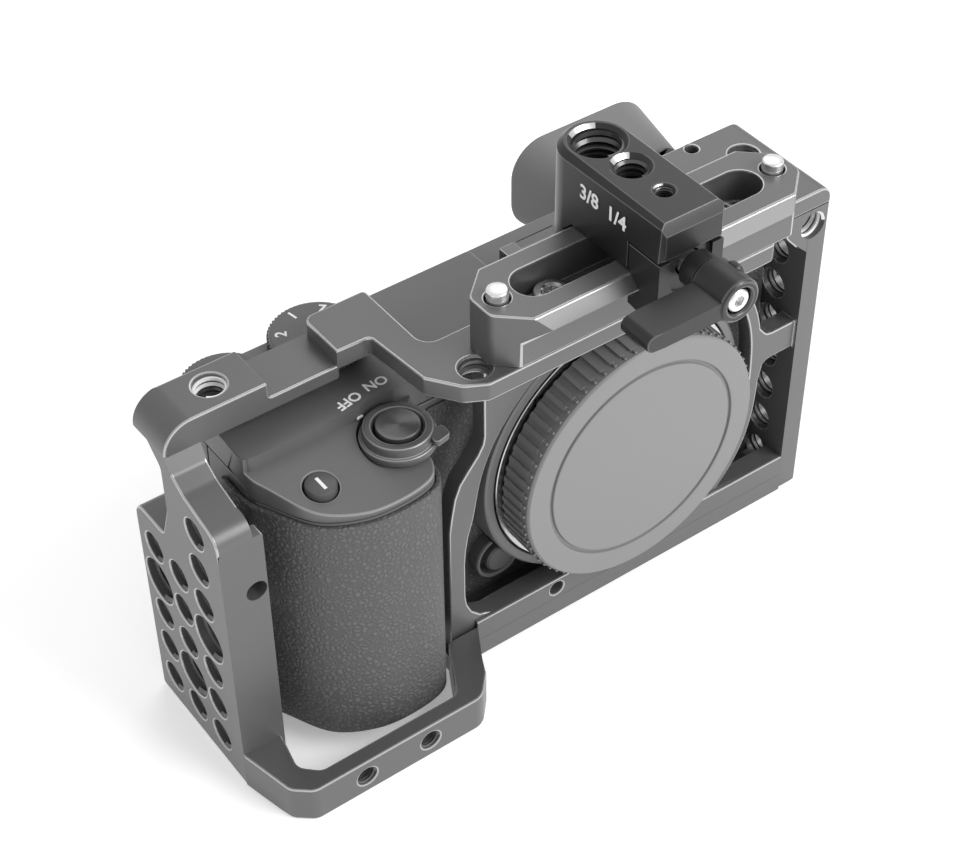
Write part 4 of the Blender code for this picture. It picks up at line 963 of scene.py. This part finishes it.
button_metal = spun_finish("spun shutter button", 0.20, (*SHUTTER, 67.6), "Z", 1600.0, 0.85, 0.30)
shutter = turned(((0, 62.3), (1.9, 62.3), (1.9, 64.4), (4.1, 64.4), (4.1, 67.0), (3.95, 67.35),
                  (3.6, 67.5), (2.0, 67.4), (0, 67.36)), (*SHUTTER, 0), steps=96)
placed(shutter, "shutter_button_turned", "shutter", button_metal,
       stands_for=("shutter_button",))
switch = turned(((4.45, 63.6), (7.1, 63.6), (7.1, 64.6), (6.95, 64.9), (6.5, 65.0), (6.45, 66.4),
                 (6.2, 66.85), (5.8, 67.0), (4.9, 66.95), (4.45, 66.4)), (*SHUTTER, 0), steps=96)
tongue = prism(rounded(((-26.2, -15.4, 0.8), (-22.4, -14.6, 0.8), (-22.2, -12.0, 0.8),
                        (-25.2, -11.6, 0))), 65.2, 66.5)
joined(switch, tongue)
switch = chamfered(switch, 0.15, control_skin, top_painted_highlight, angle=40)
placed(switch, "power_switch_moulded", "switch",
       stands_for=("power_switch",))
pointer = prism(((-33.5, -1.85), (-32.6, -0.75), (-32.1, -1.7)), 66.0, 66.35)
placed(pointer, "switch_pointer", "rig", mark_white)
function = turned(((0, 62.6), (2.9, 62.6), (2.9, 64.2), (2.75, 64.55), (2.4, 64.7), (0, 64.6)),
                  (*FUNCTION, 0))
placed(function, "function_button_moulded", "function_key", control_skin,
       stands_for=("function_button",))
lettering("1", 4.4, 0.03, facing((*FUNCTION, 64.68), (-1, 0, 0), (0, -1, 0)), "function_key",
          "function_button_mark")

for name, body, (x, y), radius, count in (("mode_dial", "mode_wheel", (-29.4, 17.1), 9.1, 60),
                                          ("control_dial", "control_knob", (-49.6, 14.9), 8.7, 56)):
    skin = spun_finish(f"{name} plastic", 0.10, (x, y, 0), "Z", 900.0, 0.3, 0.36)
    dial = turned(((0, 66.4), (2.0, 66.4), (2.0, 68.9), (radius - 0.35, 68.9),
                   (radius - 0.3, 69.0), (radius - 0.3, 70.9), (radius - 0.6, 71.35),
                   (radius - 1.0, 71.5), (0, 71.5)), (x, y, 0), steps=96)
    knurl = ribs(count, radius - 0.35, 0.42, 0.6, 1.9, (x, y, 69.95), "Z", skin)
    placed(merged([dial, knurl]), f"{name}_moulded", body, skin,
           stands_for=(name,))
for k, mark in enumerate("1234567"):
    angle = math.radians(100 + 51.4 * k)
    spot = (-29.4 + 6.3 * math.cos(angle), 17.1 + 6.3 * math.sin(angle), 71.5)
    outward = (math.cos(angle), math.sin(angle), 0)
    across = (math.sin(angle), -math.cos(angle), 0)
    lettering(mark, 3.0, 0.03, facing(spot, across, outward), "mode_wheel", f"mode_mark_{mark}")


# Accessory shoe and flash lid. The shoe is folded from steel strip and screwed to the top cover;
# the lid lies flush in front of the rear edge and hinges up at the back.
def refined(cad_node, width, skin, rim=None, segments=2):
    """A merged copy of a CAD node, in millimetres, with its edges broken."""
    bm = bmesh.new()
    bm.from_mesh(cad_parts[cad_node].data)
    bm.transform(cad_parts[cad_node].matrix_world)
    bmesh.ops.scale(bm, vec=(1000, 1000, 1000), verts=bm.verts)
    obj = written(bm, working(bpy.data.meshes.new("work")))
    return chamfered(obj, width, skin, rim, segments)


shoe_steel = finish("painted shoe", 0.14, 0.35, metallic=0.7, grain=4000.0)
placed(refined("hot_shoe", 0.15, shoe_steel, screw_steel), "accessory_shoe_folded", "rig",
       stands_for=("hot_shoe",))
placed(refined("flash_lid", 0.35, top_skin, top_painted_highlight), "flash_lid_painted", "flash",
       stands_for=("flash_lid",))


# Eyepiece. A moulded housing with a glass window, a soft rubber eyecup slid over it, and a small
# ribbed dial at the side for the user's eyesight.
rubber = finish("eyecup rubber", 0.17, 0.62, grain=5000.0, speckle=0.1, relief=0.00005)
CUP = (48.75, 61.45)
sight = rectangle(40.0, 57.5, 57.1, 65.3, 1.5)
cup = prism(rectangle(31.5, 66.0, 50.6, 72.3, 8.0, 16), 23.7, 40.9, "Y")
for vert in cup.data.vertices:
    if vert.co.y < 30:
        vert.co.x = CUP[0] + (vert.co.x - CUP[0]) * 0.78
        vert.co.z = CUP[1] + (vert.co.z - CUP[1]) * 0.9
cut(cup, prism(rectangle(36.7, 60.8, 54.3, 68.0, 1.5), 20, 31.3, "Y"), prism(sight, 30, 42, "Y"),
    box(60.7, 67.0, 20, 31.3, 56.0, 66.0))
cup = chamfered(cup, 0.9, rubber, segments=4)
placed(cup, "eyecup_moulded", "rig", stands_for=("eyecup",), crease=40)
placed(refined("evf_housing", 0.2, cover_skin, cover_highlight_and_housing), "eyepiece_housing", "rig",
       stands_for=("evf_housing",))
diopter = merged([
    turned(((0, 60.9), (2.7, 60.9), (2.75, 61.0), (2.75, 63.0), (2.4, 63.3), (0, 63.3)),
           (0, 27.2, 61.0), "X"),
    ribs(28, 2.75, 0.3, 0.45, 1.8, (62.0, 27.2, 61.0), "X", control_skin)])
placed(diopter, "diopter_dial_ribbed", "diopter", control_skin,
       stands_for=("diopter_dial",))


# Rear screen and thumb controls. A tilting screen on a thin steel arm, a ribbed thumb wheel with
# a button in its middle and four round buttons.
glass = finish("dark cover glass", (0.008, 0.009, 0.012), 0.06, grain=1500.0, speckle=0.02,
               relief=0.000001, spread=0.04, coat=0.6)
arm_steel = finish("black screen arm", 0.06, 0.35, metallic=0.8)
placed(refined("screen_frame", 0.35, cover_skin, cover_highlight_and_housing), "screen_frame_moulded", "screen",
       stands_for=("screen_frame",))
placed(refined("screen_glass", 0.12, glass), "screen_glass_pane", "screen",
       stands_for=("screen_glass",))
placed(refined("screen_arm", 0.12, arm_steel), "screen_arm_folded", "arm",
       stands_for=("screen_arm",))
wheel_skin = spun_finish("thumb wheel plastic", 0.10, (-40, 0, 24), "Y", 900.0, 0.2, 0.4)
wheel = merged([
    turned(((4.1, 23.3), (8.25, 23.3), (8.3, 24.3), (8.0, 24.75), (7.6, 24.9), (4.5, 24.9),
            (4.1, 24.6)), (-40, 0, 24), "Y", 96),
    ribs(64, 8.25, 0.4, 0.5, 1.0, (-40, 23.9, 24), "Y", wheel_skin)])
placed(wheel, "control_wheel_ribbed", "thumb_wheel", wheel_skin,
       stands_for=("control_wheel",))
centre_key = turned(((0, 21.6), (2.9, 21.6), (2.9, 23.9), (3.8, 23.9), (3.8, 24.7), (3.5, 25.0),
                     (0, 24.85)), (-40, 0, 24), "Y")
placed(centre_key, "wheel_centre_button_moulded", "centre_key", control_skin,
       stands_for=("wheel_centre_button",))
for name, body, x, z in (("menu_button", "menu_key", -29.0, 47.0),
                         ("fn_button", "fn_key", -49.5, 40.0),
                         ("playback_button", "playback_key", -29.5, 11.5),
                         ("delete_button", "delete_key", -50.5, 11.5)):
    key = turned(((0, 21.8), (2.1, 21.8), (2.1, 23.6), (1.95, 23.9), (1.6, 24.0), (0, 23.9)),
                 (x, 0, z), "Y", 48)
    placed(key, f"{name}_moulded", body, control_skin, stands_for=(name,))


# Inner and underside parts whose CAD shape is right as it is: they keep it and get their finish.
board_green = finish("solder mask", (0.015, 0.10, 0.055), 0.4, grain=1800.0, speckle=0.35)
battery_film = finish("battery film", (0.10, 0.10, 0.12), 0.35, grain=2500.0, coat=0.2)
KEPT = {
    "lever_spring": spring_wire,
    "image_sensor": board_green, "main_board": board_green, "battery": battery_film,
    "battery_door": cover_skin, "shutter_unit": control_skin, "tripod_socket": screw_steel,
    "camera_mount_screw": screw_steel, "evf_window": glass, "lens_lock_pin": pin_steel,
    "mount_screw_1": screw_steel, "mount_screw_2": screw_steel, "mount_screw_3": screw_steel,
    "mount_screw_4": screw_steel}
for kept, skin in KEPT.items():
    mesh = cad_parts[kept].data
    mesh.materials.clear()
    mesh.materials.append(skin)


# Studio: a pale floor, a soft dome, a large softbox at the front right and a weaker one at the
# back right, and the camera at the high three-quarter view.
floor_mesh = bpy.data.meshes.new("studio_floor")
floor_mesh.from_pydata([(-6, -6, 0), (6, -6, 0), (6, 6, 0), (-6, 6, 0)], [], [(0, 1, 2, 3)])
floor = bpy.data.objects.new("studio_floor", floor_mesh)
bpy.context.scene.collection.objects.link(floor)
floor.location = (0, 0, -0.0002)
pale = finish("pale floor", 0.9, 0.7, speckle=0.0, cloud=0.01, relief=0.0)
pale_shader = pale.node_tree.nodes["Principled BSDF"]
pale_shader.inputs["Emission Color"].default_value = (1, 1, 1, 1)
pale_shader.inputs["Emission Strength"].default_value = 0.28
floor_mesh.materials.append(pale)

world = bpy.data.worlds.new("studio")
bpy.context.scene.world = world
world.use_nodes = True
world.node_tree.nodes["Background"].inputs["Color"].default_value = (1.0, 1.0, 1.0, 1.0)
world.node_tree.nodes["Background"].inputs["Strength"].default_value = 0.8
bpy.context.scene.view_settings.view_transform = "Standard"

TARGET = Vector((0.0, 0.0, 0.05))
for name, toward, distance, size, power in (
        ("softbox_front_right", (0.43, -0.70, 0.56), 0.9, 0.55, 6.6),
        ("softbox_back_right", (0.50, 0.55, 0.67), 1.0, 0.5, 1.0)):
    light = bpy.data.lights.new(name, "AREA")
    light.size = size
    light.energy = power
    lamp = bpy.data.objects.new(name, light)
    bpy.context.scene.collection.objects.link(lamp)
    lamp.location = TARGET + Vector(toward).normalized() * distance
    lamp.rotation_mode = "QUATERNION"
    lamp.rotation_quaternion = Vector(toward).to_track_quat("Z", "Y")

CAMERA_PLACE = (-0.175108, -0.236403, 0.3184)
azimuth, elevation, roll = math.radians(-35.638), math.radians(42.965), math.radians(-0.5446)
back = Vector((math.sin(azimuth) * math.cos(elevation), -math.cos(azimuth) * math.cos(elevation),
               math.sin(elevation)))
right = Vector((math.cos(azimuth), math.sin(azimuth), 0.0))
up = back.cross(right)
across = right * math.cos(roll) + up * math.sin(roll)
upward = up * math.cos(roll) - right * math.sin(roll)
camera_data = bpy.data.cameras.new("camera")
camera_data.lens = 79.39
camera_data.sensor_width = 36.0
camera_data.clip_start = 0.01
camera = bpy.data.objects.new("camera", camera_data)
bpy.context.scene.collection.objects.link(camera)
camera.matrix_world = (Matrix.Translation(CAMERA_PLACE)
                       @ Matrix((across, upward, back)).transposed().to_4x4())
bpy.context.scene.camera = camera
